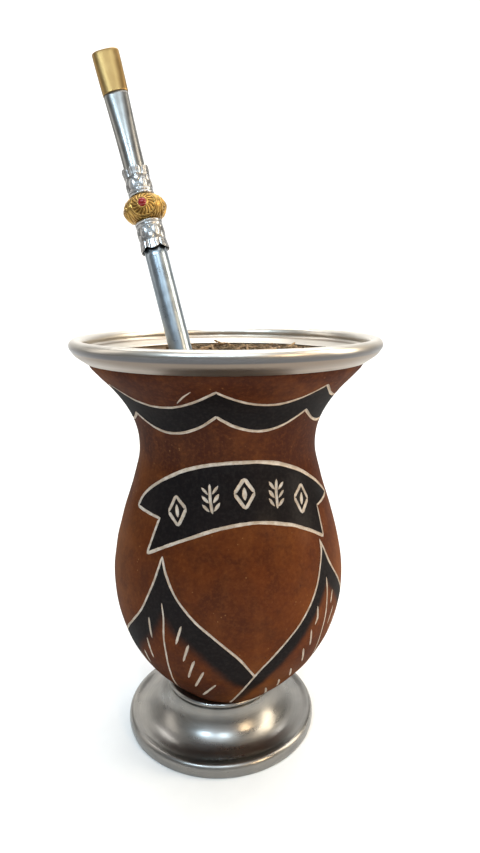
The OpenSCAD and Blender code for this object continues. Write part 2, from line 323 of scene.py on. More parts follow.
def spun_metal(name, light, dull, centre, rough0, rough1, painted_shade_bands=None, depth=0.00002, metal=1.0):
    """Satin metal with fine turning marks round the z axis."""
    t = Tree(name)
    P = t.coords()
    x, y, z = t.split(t.vmath("SUBTRACT", P, (centre * MM, 0.0, 0.0)))
    r = t.math("SQRT", t.math("ADD", t.math("MULTIPLY", x, x), t.math("MULTIPLY", y, y)))
    ang = t.math("ARCTAN2", y, x)
    marks = t.noise(t.join(t.math("MULTIPLY", r, 1.0), t.math("MULTIPLY", z, 1.0), t.math("MULTIPLY", ang, 0.0016)), 2600.0, 4.0, 0.7)
    bands = t.noise(t.join(t.math("MULTIPLY", r, 1.0), t.math("MULTIPLY", z, 1.0), t.math("MULTIPLY", ang, 0.004)), 420.0, 2.0, 0.5)
    cloud = t.noise(P, 70.0, 3.0, 0.55)
    spots = t.noise(P, 480.0, 3.0, 0.65)
    col = t.mix(t.ramp(cloud, 0.35, 0.7), dull, light)
    col = t.mix(t.ramp(marks, 0.35, 0.65, 0.0, 0.22), col, tuple(0.72 * c for c in dull))
    # painted shade: on the outer side, below given heights, the colour is pulled towards a dark one that stands in for
    # shade and dark reflections
    if painted_shade_bands:
        for beyond, lo, hi, shade_colour, amount in painted_shade_bands:
            col = t.mix(t.math("MULTIPLY", t.ramp(r, beyond - 0.0006, beyond + 0.0006), t.ramp(z, lo, hi, 0.0, amount)), col, shade_colour)
    rough = t.ramp(bands, 0.3, 0.7, rough0, rough1)
    rough = t.math("ADD", rough, t.ramp(spots, 0.3, 0.8, -0.006, 0.010))
    b = t.bump(marks, 0.5, depth)
    b = t.bump(cloud, 0.12, 0.0004, b)
    t.set(Base_Color=col, Metallic=metal, Roughness=rough, Normal=b)
    return t.mat


def straw_metal(name, light, dull, rough0, rough1, recess=None, scratch=0.00001, recess_strength=0.62):
    """Polished metal with fine lengthwise and crosswise scratches; recess darkens the hollows of its relief."""
    t = Tree(name)
    P = t.coords()
    f = t.noise(P, 3200.0, 3.0, 0.7)
    c = t.noise(P, 260.0, 4.0, 0.6)
    col = t.mix(t.ramp(c, 0.35, 0.7), dull, light)
    rough = t.ramp(c, 0.3, 0.75, rough0, rough1)
    if recess:
        # darker in the relief's hollows, its grooves and the bore ends, following the hollow attribute
        h = t.attr("hollow")
        recess_mask = t.math("MULTIPLY", t.ramp(h, 0.15, 0.85), recess_strength)
        col = t.mix(recess_mask, col, recess)
        rough = t.math("ADD", rough, t.math("MULTIPLY", recess_mask, 0.25))
    b = t.bump(f, 0.5, scratch)
    t.set(Base_Color=col, Metallic=1.0, Roughness=rough, Normal=b)
    return t.mat


def red_stone():
    t = Tree("red_stone")
    P = t.coords()
    n = t.noise(P, 900.0, 2.0)
    t.set(Base_Color=t.mix(t.ramp(n, 0.3, 0.7), (0.15, 0.002, 0.004), (0.26, 0.004, 0.008)), Roughness=0.16, Coat_Weight=0.25,
          Coat_Roughness=0.05, Specular_IOR_Level=0.4, Normal=t.bump(n, 0.05, 0.0001))
    return t.mat


def leaf_core():
    t = Tree("leaf_core")
    P = t.coords()
    wet = t.attr("wet")
    n1 = t.noise(P, 700.0, 4.0, 0.7)
    n2 = t.cells(P, 850.0, out="Color")
    n3 = t.noise(P, 150.0, 3.0, 0.6)
    c = t.mix(t.ramp(n1, 0.35, 0.65), (0.036, 0.017, 0.007), (0.135, 0.074, 0.030))
    c = t.mix(t.ramp(n3, 0.4, 0.7, 0.0, 0.5), c, (0.11, 0.088, 0.028))
    c = t.mix(0.35, c, t.mix(1.0, c, n2, "MULTIPLY"))
    c = t.mix(t.math("MULTIPLY", wet, 0.8), c, (0.020, 0.013, 0.0045))
    r = t.math("SUBTRACT", 0.85, t.math("MULTIPLY", wet, 0.55))
    t.set(Base_Color=c, Roughness=r, Normal=t.bump(n1, 0.8, 0.0006))
    return t.mat


def leaf_bits(name, a, b, c3):
    t = Tree(name)
    P = t.coords()
    tone = t.attr("tone")
    wet = t.attr("wet")
    n = t.noise(P, 1400.0, 3.0, 0.6)
    c = t.mix(tone, a, b)
    c = t.mix(t.ramp(n, 0.4, 0.7, 0.0, 0.6), c, c3)
    c = t.mix(t.math("MULTIPLY", wet, 0.75), c, (0.022, 0.014, 0.005))
    t.set(Base_Color=c, Roughness=t.math("SUBTRACT", 0.75, t.math("MULTIPLY", wet, 0.5)), Normal=t.bump(n, 0.6, 0.0003))
    return t.mat


def infusion_mat():
    t = Tree("infusion")
    P = t.coords()
    n = t.noise(P, 260.0, 3.0, 0.5)
    t.set(Base_Color=t.mix(t.ramp(n, 0.35, 0.7), (0.012, 0.0085, 0.002), (0.032, 0.024, 0.006)), Roughness=0.06, Specular_IOR_Level=0.5,
          Normal=t.bump(n, 0.15, 0.0004))
    return t.mat


def foam_mat():
    t = Tree("foam")
    P = t.coords()
    n = t.noise(P, 1200.0, 2.0)
    t.set(Base_Color=t.mix(t.ramp(n, 0.35, 0.7), (0.20, 0.16, 0.07), (0.36, 0.31, 0.17)), Roughness=0.12, Coat_Weight=0.6, Coat_Roughness=0.06)
    return t.mat


# ------------------------------------------------------------------ gourd outline, the same rule as in the CAD

BELLY, WAIST, LIP_R, LIP_Z, BOTTOM, BOWL = 43.7, 32.3, 49.1, 147.0, 10.5, 30.2
JZ, JR = BOTTOM + BOWL * (1 - math.cos(math.radians(45))), BOWL * math.sin(math.radians(45))
KNOTS = [(JZ, JR), (JZ + 5, 0.603 * BELLY), (30, 0.714 * BELLY), (41, 0.877 * BELLY), (53, 0.972 * BELLY), (65, BELLY),
         (78, 0.965 * BELLY), (90, 0.892 * BELLY), (102, 1.083 * WAIST), (114.5, WAIST), (122, 1.026 * WAIST),
         (129, 1.114 * WAIST), (136, 1.264 * WAIST), (141.5, LIP_R - 3.1), (144.2, LIP_R - 0.8), (LIP_Z, LIP_R)]


def hermite(k, zq):
    z = np.array([p[0] for p in k], float)
    r = np.array([p[1] for p in k], float)
    h = np.diff(z)
    d = np.diff(r) / h
    m = np.empty_like(z)
    m[0], m[-1] = d[0], d[-1]
    m[1:-1] = (d[:-1] * h[1:] + d[1:] * h[:-1]) / (h[:-1] + h[1:])
    zq = np.asarray(zq, float)
    i = np.clip(np.searchsorted(z, zq) - 1, 0, len(h) - 1)
    t = (zq - z[i]) / h[i]
    return (r[i] * (1 + 2 * t) * (1 - t) ** 2 + m[i] * h[i] * t * (1 - t) ** 2 + r[i + 1] * t * t * (3 - 2 * t) + m[i + 1] * h[i] * t * t * (t - 1))


low = np.radians(np.linspace(0, 45, 200)[:-1])
_z = np.concatenate([BOTTOM + BOWL * (1 - np.cos(low)), np.linspace(JZ, LIP_Z, 4000)])
_r = np.concatenate([BOWL * np.sin(low), hermite(KNOTS, np.linspace(JZ, LIP_Z, 4000))])
_s = np.concatenate([[0], np.cumsum(np.hypot(np.diff(_r), np.diff(_z)))])
_dr, _dz = np.gradient(_r, _s), np.gradient(_z, _s)


def s_of_z(z):
    return np.interp(z, _z, _s)


def gourd_point(theta, s, out=0.0):
    """Point on the gourd at angle theta (0 in front, + to the right, radians) and distance s along the outline."""
    r, z = np.interp(s, _s, _r), np.interp(s, _s, _z)
    nr, nz = np.interp(s, _s, _dz), -np.interp(s, _s, _dr)
    rr, zz = r + out * nr, z + out * nz
    return np.stack([rr * np.sin(theta), -rr * np.cos(theta), zz], -1)


# ------------------------------------------------------------------ carving

SEAM = 189.0     # degrees; the drawing's two sides meet here, between two pointed fields
R0 = 40.0        # mm; angles times this give the flat drawing's width

strokes = []     # flat polylines (x = R0 * angle, s) with widths


def curve(points, per=6):
    """Smooth curve through (degrees, z) points."""
    return spline([(math.radians(a) * R0, float(s_of_z(z))) for a, z in points], per)


def line(points):
    return np.array([(math.radians(a) * R0, float(s_of_z(z))) for a, z in points], float)


def stretch(p):
    """Width factor from the flat drawing to the real surface at each point."""
    return np.interp(p[:, 1], _s, _r) / R0


def resample(p, step):
    f = 0.5 * (stretch(p)[1:] + stretch(p)[:-1])
    d = np.hypot(np.diff(p[:, 0]) * f, np.diff(p[:, 1]))
    c = np.concatenate([[0], np.cumsum(d)])
    n = max(2, int(round(c[-1] / step)) + 1)
    q = np.linspace(0, c[-1], n)
    return np.stack([np.interp(q, c, p[:, 0]), np.interp(q, c, p[:, 1])], 1)


def carve(p, width, depth=0.42, ends=(0.0, 0.0), shake=0.05, seed=0, fixed_ends=False):
    """Adds a cut along the flat polyline. ends are the lengths over which it tapers to a point, in mm."""
    q = resample(p, 0.75)
    r = np.random.default_rng(1000 + seed + len(strokes))
    n = len(q)
    f = stretch(q)
    d = np.hypot(np.gradient(q[:, 0]) * f, np.gradient(q[:, 1]))
    c = np.cumsum(d) - d[0]
    w = np.full(n, width, float)
    wob = np.convolve(r.normal(size=n + 8), np.ones(9) / 9 * 2.2, "valid")[:n]
    w *= 1 + 0.11 * wob
    if ends[0] > 0:
        w *= np.clip(0.22 + 0.78 * np.sqrt(np.clip(c / ends[0], 0, 1)), 0, 1)
    if ends[1] > 0:
        w *= np.clip(0.22 + 0.78 * np.sqrt(np.clip((c[-1] - c) / ends[1], 0, 1)), 0, 1)
    side = np.convolve(r.normal(size=n + 6), np.ones(7) / 7 * 2.0, "valid")[:n] * shake
    if fixed_ends:
        fade = np.clip(np.minimum(np.arange(n), np.arange(n)[::-1]) / 6.0, 0, 1)
        side *= fade
        w = width + (w - width) * fade
    tx, ty = np.gradient(q[:, 0]) * f, np.gradient(q[:, 1])
    L = np.hypot(tx, ty)
    nx, ny = -ty / L, tx / L
    if fixed_ends:
        for e in (0, -1):
            nx[e], ny[e] = 0.0, 1.0 if tx[e] > 0 else -1.0
    q = q + np.stack([nx * side / f, ny * side], 1)
    strokes.append({"p": q, "w": w, "n": np.stack([nx / f, ny], 1), "depth": depth, "ends": not fixed_ends, "f": f})


def scallops(cusps, low):
    """Closed wavy line: cusp points (degrees, z) joined by hanging arcs whose lowest z is given for each gap."""
    out = []
    n = len(cusps)
    for i in range(n):
        a0, z0 = cusps[i]
        a1, z1 = cusps[(i + 1) % n]
        a1 = a1 if a1 > a0 else a1 + 360
        zl = low[i]
        for k in range(28):
            t = k / 28.0
            hang = 1 - abs(2 * t - 1) ** 2.1
            out.append((a0 + (a1 - a0) * t, z0 + (z1 - z0) * t + (zl - 0.5 * (z0 + z1)) * hang))
    return out


def wrap(points):
    """Turns a closed (degrees, z) list so that it starts at the seam and ends one turn later."""
    a = np.array(points, float)
    a[:, 0] = (a[:, 0] - SEAM) % 360 + SEAM - 360
    a = a[np.argsort(a[:, 0])]
    z0 = np.interp(SEAM - 360, np.r_[a[-1, 0] - 360, a[:, 0], a[0, 0] + 360], np.r_[a[-1, 1], a[:, 1], a[0, 1]])
    return [(SEAM - 360, z0)] + [tuple(q) for q in a if q[0] > SEAM - 359.5 and q[0] < SEAM - 0.5] + [(SEAM, z0)]


up_cusps = [(-160, 140.1), (-112, 139.8), (-61.5, 139.6), (-5.0, 140.3), (43.3, 140.5), (96, 140.0), (148, 139.9)]
up_low = [134.4, 134.6, 133.9, 135.3, 134.6, 134.8, 134.5]
lo_cusps = [(-160, 131.2), (-110, 131.6), (-57.3, 129.6), (-6.0, 131.5), (41.3, 132.0), (94, 131.4), (148, 131.3)]
lo_low = [125.2, 125.4, 124.5, 126.0, 125.6, 125.5, 125.1]
upper = wrap(scallops(up_cusps, up_low))
lower = wrap(scallops(lo_cusps, lo_low))
carve(line(upper), 0.92, fixed_ends=True)
carve(line(lower), 0.98, fixed_ends=True)

# ribbon
rib_top = curve([(-58.3, 96.8), (-55.8, 100.9), (-47.6, 105.4), (-36.6, 109.4), (-25.4, 112.4), (-13.2, 114.4), (-1.0, 115.3),
                 (11.6, 115.4), (21.7, 114.9), (33.1, 113.2), (46.7, 110.0), (59.7, 105.2), (71.5, 100.0), (76.5, 97.2)])
rib_right = line([(76.5, 97.2), (56.6, 96.3), (55.4, 91.0), (54.9, 85.9)])
rib_bot = curve([(54.9, 85.9), (43.7, 90.3), (32.4, 93.8), (18.4, 95.9), (5.5, 96.1), (-6.8, 94.6), (-18.1, 91.9), (-29.9, 88.4), (-42.5, 83.8)])
rib_left = line([(-42.5, 83.8), (-38.7, 95.8), (-58.3, 96.8)])
carve(rib_top, 1.22, 0.5, ends=(1.0, 1.0))
carve(rib_right, 0.85, ends=(1.0, 1.0))
carve(rib_bot, 1.12, 0.5, ends=(1.0, 1.0))
carve(rib_left, 0.95, ends=(1.0, 1.0))
ribbon = np.vstack([rib_top, rib_right, rib_bot, rib_left])

# pointed fields below: left side, right side, and the long middle cut of each
peaks = [
    {"apex": (-32.9, 84.4),
     "left": [(-32.9, 84.4), (-34.4, 79.9), (-38.2, 72.0), (-45.6, 62.3), (-59.3, 52.3), (-70.5, 45.6), (-80.5, 39.6)],
     "right": [(-32.9, 84.4), (-29.8, 79.0), (-24.9, 73.3), (-18.5, 67.5), (-12.0, 62.8), (-3.6, 56.9), (4.4, 50.2), (12.1, 41.6)],
     "mid": [(-31.2, 69.4), (-30.5, 63.7), (-31.4, 55.8), (-31.9, 48.5), (-33.5, 39.4), (-37.5, 30.5), (-45.0, 22.0)]},
    {"apex": (50.5, 85.8),
     "left": [(50.5, 85.8), (49.7, 81.7), (45.8, 75.2), (41.0, 68.9), (35.2, 63.2), (27.5, 57.0), (19.2, 50.0), (12.1, 42.3), (4.7, 28.5), (-0.5, 19.0)],
     "right": [(50.5, 85.8), (52.0, 82.9), (56.3, 75.9), (67.2, 65.2), (80.0, 55.0), (91.5, 46.5), (99.0, 40.5)],
     "mid": [(51.2, 72.3), (50.9, 60.2), (49.9, 49.5), (51.5, 40.0), (56.0, 30.0)]},
    {"apex": (143.0, 85.0),
     "left": [(143.0, 85.0), (141.5, 79.5), (136.6, 71.5), (128.0, 62.5), (116.0, 52.0), (105.5, 45.2), (99.0, 40.5), (92.0, 29.0), (87.0, 19.0)],
     "right": [(143.0, 85.0), (145.5, 79.0), (150.5, 72.0), (157.0, 65.5), (164.5, 59.5), (173.5, 53.0), (181.5, 46.8), (187.9, 41.3)],
     "mid": [(143.5, 70.5), (144.5, 62.0), (143.2, 52.0), (142.0, 42.0), (138.5, 32.0)]},
    {"apex": (-124.0, 84.6),
     "left": [(-124.0, 84.6), (-125.5, 79.5), (-130.0, 72.0), (-138.5, 63.0), (-150.0, 54.5), (-161.0, 47.0), (-169.9, 41.1)],
     "right": [(-124.0, 84.6), (-121.5, 79.0), (-116.5, 72.0), (-108.0, 63.0), (-97.5, 54.0), (-88.5, 46.5), (-80.5, 39.6), (-86.5, 29.0), (-91.0, 19.0)],
     "mid": [(-124.5, 70.0), (-123.5, 61.0), (-125.0, 51.0), (-126.0, 41.0), (-129.0, 31.0)]},
]
for k in peaks:
    k["L"], k["R"] = curve(k["left"]), curve(k["right"])
    carve(k["L"], 0.80, ends=(2.5, 1.0))
    carve(k["R"], 0.86, ends=(2.5, 1.0))
    carve(curve(k["mid"]), 0.74, 0.38, ends=(3.0, 9.0))

# short cuts beside the middle one: measured ones in front, the same kind behind
dashes = [[(-39.0, 62.4), (-38.7, 54.4)], [(-42.4, 53.2), (-41.9, 44.7)], [(-48.2, 46.0), (-48.4, 40.0)], [(-55.5, 42.5), (-56.5, 36.5)],
          [(-21.7, 62.8), (-25.1, 55.2)], [(-18.9, 56.0), (-22.8, 48.2)], [(-17.1, 49.3), (-22.5, 40.1)], [(-13.3, 44.6), (-20.6, 34.9)],
          [(-8.3, 37.6), (-19.9, 27.4)], [(56.4, 66.0), (55.2, 61.2)], [(58.4, 59.0), (55.6, 52.6)], [(64.0, 53.5), (61.0, 46.5)], [(70.5, 48.0), (67.5, 40.5)],
          [(43.3, 63.9), (43.7, 59.4), (42.2, 57.2)], [(39.9, 56.0), (41.3, 49.1)], [(36.6, 49.3), (39.6, 42.2)], [(32.4, 41.2), (36.5, 35.4)],
          [(27.9, 36.3), (34.2, 28.6)], [(78.5, 43.0), (75.0, 34.5)], [(22.5, 31.5), (30.0, 23.5)]]
for c, sgn in ((143.4, 1), (-124.6, 1)):
    for a0, z0, a1, z1 in ((-7.6, 62.5, -5.6, 55.0), (-11.5, 54.0, -8.5, 45.8), (-17.0, 47.2, -12.5, 38.6), (-24.5, 42.0, -18.5, 33.4), (-33.0, 37.5, -25.0, 28.5),
                           (8.0, 62.0, 5.8, 54.2), (12.4, 55.0, 9.2, 46.6), (17.6, 49.4, 12.8, 40.6), (24.0, 45.0, 18.6, 36.2)):
        dashes.append([(c + a0, z0), (c + a1, z1)])
for i, d in enumerate(dashes):
    carve(line(d), 0.86, 0.36, ends=(1.6, 1.6), seed=i)
carve(line([(-14.6, 140.3), (-18.2, 138.6), (-22.6, 136.0)]), 0.62, 0.2, ends=(3.0, 3.0))


def ornament(a, z, kind, lean, size=1.0):
    """A plain cut ornament at (degrees, z): 0 is a lozenge round a smaller one, 1 an ear with slanted grains."""
    r = float(np.interp(s_of_z(z), _s, _r))
    ca, sa = math.cos(lean), math.sin(lean)

    def put(pts):
        return line([(a + math.degrees((x * ca - y * sa) * size / r), z + (x * sa + y * ca) * size) for x, y in pts])

    if kind == 0:
        ring = [(0, 5.0), (3.5, 0.3), (0.1, -4.7), (-3.4, 0.2)]
        for k in range(4):
            carve(put([ring[k], ring[(k + 1) % 4]]), 1.12, 0.48, ends=(0.5, 0.5), seed=k)
        carve(put([(0, 2.0), (0.1, -1.9)]), 1.5, 0.48, ends=(1.6, 1.6))
    else:
        carve(put([(0.1, 4.9), (-0.1, 0.5), (0.2, -4.9)]), 1.0, 0.46, ends=(1.0, 0.8))
        for y in (3.0, 0.2, -2.6):
            carve(put([(0.9, y - 1.5), (3.1, y + 1.0)]), 1.05, 0.46, ends=(1.4, 1.2))
            carve(put([(-0.8, y - 1.5), (-3.0, y + 1.0)]), 1.05, 0.46, ends=(1.4, 1.2))


for i, (a, z, lean) in enumerate(((-28.6, 99.1, 0.26), (-10.2, 103.9, 0.14), (8.2, 105.3, -0.01), (26.9, 104.2, -0.14), (43.9, 100.6, -0.30))):
    ornament(a, z, i % 2, lean, 0.98 if i % 2 == 0 else 0.93)


def nearest(pts):
    """For flat points: smallest distance to any cut as a share of its half width, and that cut's depth."""
    best = np.full(len(pts), 99.0)
    deep = np.zeros(len(pts))
    f = stretch(pts)
    for s in strokes:
        p, w = s["p"], s["w"]
        pad = 3.0
        sel = np.where((pts[:, 0] > p[:, 0].min() - pad * 1.6) & (pts[:, 0] < p[:, 0].max() + pad * 1.6)
                       & (pts[:, 1] > p[:, 1].min() - pad) & (pts[:, 1] < p[:, 1].max() + pad))[0]
        if not len(sel):
            continue
        for c in range(0, len(sel), 4000):
            q = sel[c:c + 4000]
            P, F = pts[q][:, None], f[q][:, None]
            a, b = p[:-1][None], p[1:][None]
            dx, dy = (b[..., 0] - a[..., 0]) * F, b[..., 1] - a[..., 1]
            ex, ey = (P[..., 0] - a[..., 0]) * F, P[..., 1] - a[..., 1]
            t = np.clip((ex * dx + ey * dy) / (dx * dx + dy * dy + 1e-12), 0, 1)
            d = np.hypot(ex - t * dx, ey - t * dy)
            ww = w[:-1][None] * (1 - t) + w[1:][None] * t
            k = d / (0.5 * ww)
            j = k.argmin(1)
            m = k[np.arange(len(q)), j]
            better = m < best[q]
            best[q[better]] = m[better]
            deep[q[better]] = (s["depth"] * np.clip(ww[np.arange(len(q)), j] / 0.85, 0.4, 1.0))[better]
    return best, deep


def inside(pts, poly):
    """Even-odd test of flat points in a closed flat polygon."""
    x, y = pts[:, 0], pts[:, 1]
    c = np.zeros(len(pts), bool)
    a, b = poly, np.roll(poly, -1, 0)
    for (x0, y0), (x1, y1) in zip(a, b):
        if y0 == y1:
            continue
        hit = ((y0 > y) != (y1 > y)) & (x < (x1 - x0) * (y - y0) / (y1 - y0) + x0)
        c ^= hit
    return c


def distance(pts, poly):
    """Real distance from flat points to a flat polyline."""
    f = stretch(pts)
    best = np.full(len(pts), 1e9)
    for a, b in zip(poly[:-1], poly[1:]):
        dx, dy = (b[0] - a[0]) * f, b[1] - a[1]
        ex, ey = (pts[:, 0] - a[0]) * f, pts[:, 1] - a[1]
        t = np.clip((ex * dx + ey * dy) / (dx * dx + dy * dy + 1e-12), 0, 1)
        best = np.minimum(best, np.hypot(ex - t * dx, ey - t * dy))
    return best


def burnt(pts):
    """How black the skin is at each flat point, 0 to 1."""
    X, S = pts[:, 0], pts[:, 1]
    lo = np.array([((math.radians(a)) * R0, float(s_of_z(z))) for a, z in lower])
    up = np.array([((math.radians(a)) * R0, float(s_of_z(z))) for a, z in upper])
    v = ((S > np.interp(X, lo[:, 0], lo[:, 1])) & (S < np.interp(X, up[:, 0], up[:, 1]))).astype(float)
    v = np.maximum(v, inside(pts, ribbon))
    base = float(s_of_z(12.0))
    turn = 2 * math.pi * R0
    for i, k in enumerate(peaks):
        L, R = k["L"], k["R"]
        poly = np.vstack([L[::-1], R[1:], [[R[-1, 0], base], [L[-1, 0], base]]])
        wide = (7.6, 5.0, 7.0, 7.0)[i]
        for off in (0, turn, -turn):
            q = pts - [off, 0]
            near = (q[:, 0] > min(L[:, 0].min(), R[:, 0].min()) - 1) & (q[:, 0] < max(L[:, 0].max(), R[:, 0].max()) + 1)
            idx = np.where(near)[0]
            if not len(idx):
                continue
            qq = q[idx]
            ins = inside(qq, poly)
            idx, qq = idx[ins], qq[ins]
            if not len(idx):
                continue
            dR, dL = distance(qq, R), distance(qq, L)
            z = np.interp(qq[:, 1], _s, _z)
            low_fade = smooth((z - 22) / 22)
            w = wide * (0.62 + 0.38 * low_fade)
            g = smooth(1 - (np.minimum(dR, dL * 1.12) - 0.55 * w) / (1.45 * w))
            v[idx] = np.maximum(v[idx], g * (0.55 + 0.45 * low_fade))
    return v


def build_gourd():
    s0, s1 = float(s_of_z(15.5)), float(s_of_z(146.85))
    x0, x1 = math.radians(SEAM - 360) * R0, math.radians(SEAM) * R0
    pts, edges = [], []

    def add(block, closed):
        i0 = len(pts)
        pts.extend(block)
        n = len(block)
        edges.extend((i0 + i, i0 + (i + 1) % n) for i in range(n if closed else n - 1))

    fixed = []
    for s in strokes:
        hw = 0.5 * s["w"][:, None] * s["n"]
        a, b = s["p"] + hw, s["p"] - hw
        if s["ends"]:
            tip = 0.35 * s["w"]
            t0, t1 = s["p"][0] - s["p"][1], s["p"][-1] - s["p"][-2]
            e0 = s["p"][0] + t0 / (np.hypot(t0[0] * s["f"][0], t0[1]) + 1e-9) * tip[0]
            e1 = s["p"][-1] + t1 / (np.hypot(t1[0] * s["f"][-1], t1[1]) + 1e-9) * tip[-1]
            add([tuple(q) for q in np.vstack([a, [e1], b[::-1], [e0]])], True)
        else:
            for side in (a, b):
                side[0, 0], side[-1, 0] = x0, x1
                fixed.append(side[0, 1])
                add([tuple(q) for q in side], False)
        if s["w"].max() > 0.9:
            for m in (0.42, -0.42):
                add([tuple(q) for q in (s["p"] + m * hw)[1:-1]], False)
        else:
            add([tuple(q) for q in s["p"][1:-1]], False)
    rows = np.linspace(s0, s1, 128)
    step = 1.45
    # the two seam columns carry the same heights
    col = sorted(list(rows) + fixed)
    col = [c for i, c in enumerate(col) if i == 0 or c - col[i - 1] > 0.02 or c in fixed]
    grid = []
    for j, s in enumerate(rows):
        n = int(round((x1 - x0) * float(np.interp(s, _s, _r)) / R0 / step))
        off = 0.5 if j % 2 else 0.0
        for i in range(n):
            x = x0 + (x1 - x0) * (i + off) / n
            if x - x0 > 0.6 and x1 - x > 0.6:
                grid.append((x, s))
    grid = np.array(grid)
    q, _ = nearest(grid)
    keep = (q > 1.75) | (grid[:, 1] <= s0 + 1e-6) | (grid[:, 1] >= s1 - 1e-6)
    grid = grid[keep]
    seam_l = [(x0, c) for c in col]
    seam_r = [(x1, c) for c in col]
    i0 = len(pts)
    pts.extend([tuple(g) for g in grid])
    a0 = len(pts)
    pts.extend(seam_l)
    b0 = len(pts)
    pts.extend(seam_r)
    edges.extend((a0 + i, a0 + i + 1) for i in range(len(seam_l) - 1))
    edges.extend((b0 + i, b0 + i + 1) for i in range(len(seam_r) - 1))
    V, _, F, *_ = delaunay_2d_cdt([Vector(p) for p in pts], edges, [], 0, 1e-4)
    V = np.array([tuple(v) for v in V])
    F = np.array(F)
    # weld the seam
    left = np.where(np.abs(V[:, 0] - x0) < 1e-4)[0]
    right = np.where(np.abs(V[:, 0] - x1) < 1e-4)[0]
    remap = np.arange(len(V))
    for r in right:
        j = left[np.abs(V[left, 1] - V[r, 1]).argmin()]
        if abs(V[j, 1] - V[r, 1]) < 0.02:
            remap[r] = j
    F = remap[F]
    ok = (F[:, 0] != F[:, 1]) & (F[:, 1] != F[:, 2]) & (F[:, 0] != F[:, 2])
    C = V[np.array([f for f in F])].copy()
    # triangle centres must be taken before the seam's angles jump
    cen = []
    for f in F:
        x = V[f, 0].copy()
        if x.max() - x.min() > 100:
            x[x < 0] += 2 * math.pi * R0
        cen.append((x.mean(), V[f, 1].mean()))
    cen = np.array(cen)
    cen[:, 0] = np.where(cen[:, 0] > x1, cen[:, 0] - (x1 - x0), cen[:, 0])
    F, cen = F[ok], cen[ok]
    q, deep = nearest(V)
    qc, _ = nearest(cen)
    cut = qc < 1.0
    skin_black = burnt(V)
    # depth: a round-bottomed groove
    d = deep * np.clip(1 - np.clip(q, 0, 1) ** 2.4, 0, 1)
    P = gourd_point(V[:, 0] / R0, V[:, 1])
    lumps, fine = Wave(34, 3), Wave(9, 4)
    z = P[:, 2]
    amp = smooth((z - 22) / 12) * smooth((139 - z) / 14)
    out = (0.16 * lumps(P) + 0.022 * fine(P)) * amp
    # a low lip of raised skin along each cut
    burr = 0.05 * np.exp(-((q - 1.25) / 0.35) ** 2) * (q >= 0.98)
    P = gourd_point(V[:, 0] / R0, V[:, 1], 0) + 0
    nrm = gourd_point(V[:, 0] / R0, V[:, 1], 1.0) - P
    P = P + nrm * (out - d + burr)[:, None]
    used = np.unique(F)
    new = -np.ones(len(V), int)
    new[used] = np.arange(len(used))
    F = new[F]
    P, skin_black, d = P[used], skin_black[used], d[used]
    Vf = V[used]
    # close the shell: bottom, lip and inner wall
    faces = [tuple(f) for f in F]
    index = [1 if c else 0 for c in cut]
    sharp = []
    owner = {}
    for f, c in zip(F, cut):
        for a, b in ((f[0], f[1]), (f[1], f[2]), (f[2], f[0])):
            e = (min(a, b), max(a, b))
            if e in owner and owner[e] != c:
                sharp.append(e)
            owner[e] = c
    count = {}
    for f in F:
        for a, b in ((f[0], f[1]), (f[1], f[2]), (f[2], f[0])):
            e = (min(a, b), max(a, b))
            count[e] = count.get(e, 0) + 1
    border = [e for e, n in count.items() if n == 1]

    def loop(which):
        sel = {a for e in border for a in e if abs(Vf[a, 1] - which) < 1e-3}
        return sorted(sel, key=lambda i: Vf[i, 0])

    top, bot = loop(s1), loop(s0)
    all_pts = list(map(tuple, P))
    extra_dark, extra_deep = [], []

    def ring(base, r_of, z):
        ids = []
        for i in base:
            a = Vf[i, 0] / R0
            ids.append(len(all_pts))
            all_pts.append((r_of * math.sin(a), -r_of * math.cos(a), z))
            extra_dark.append(0.0)
            extra_deep.append(0.0)
        return ids

    def bridge(A, B, flip, mat):
        n = len(A)
        for i in range(n):
            k = (i + 1) % n
            f = (A[i], A[k], B[k], B[i])
            faces.append(f[::-1] if flip else f)
            index.append(mat)

    prev = bot
    for r, z in ((14.5, 13.9), (9.0, 11.95), (4.0, 10.8)):
        nxt = ring(bot, r, z)
        bridge(prev, nxt, True, 0)
        prev = nxt
    faces.append(tuple(prev[::-1]))
    index.append(0)
    inner = [(48.3, 146.95), (45.75, 146.95)]
    ss = np.linspace(s1 - 0.8, float(s_of_z(16.0)), 26)
    for s in ss:
        r, z = np.interp(s, _s, _r), np.interp(s, _s, _z)
        nr, nz = np.interp(s, _s, _dz), -np.interp(s, _s, _dr)
        rr, zz = r - 3.55 * nr, z - 3.55 * nz
        if zz < 146.6 and rr < inner[-1][0] + 0.5 or len(inner) > 2:
            inner.append((max(rr, 0.5), zz))
    prev = top
    for r, z in inner:
        nxt = ring(top, r, z)
        bridge(prev, nxt, False, 2)
        prev = nxt
    faces.append(tuple(prev))
    index.append(2)
    dark = np.concatenate([skin_black, extra_dark])
    deep = np.concatenate([np.clip(d / 0.45, 0, 1), extra_deep])
    o = make("gourd_carved", all_pts, faces, [M["gourd"], M["cut"], M["inside"]], "gourd", index, sharp=sharp)
    attribute(o, "dark", dark)
    attribute(o, "deep", deep)
    return o


# ------------------------------------------------------------------ materials in use

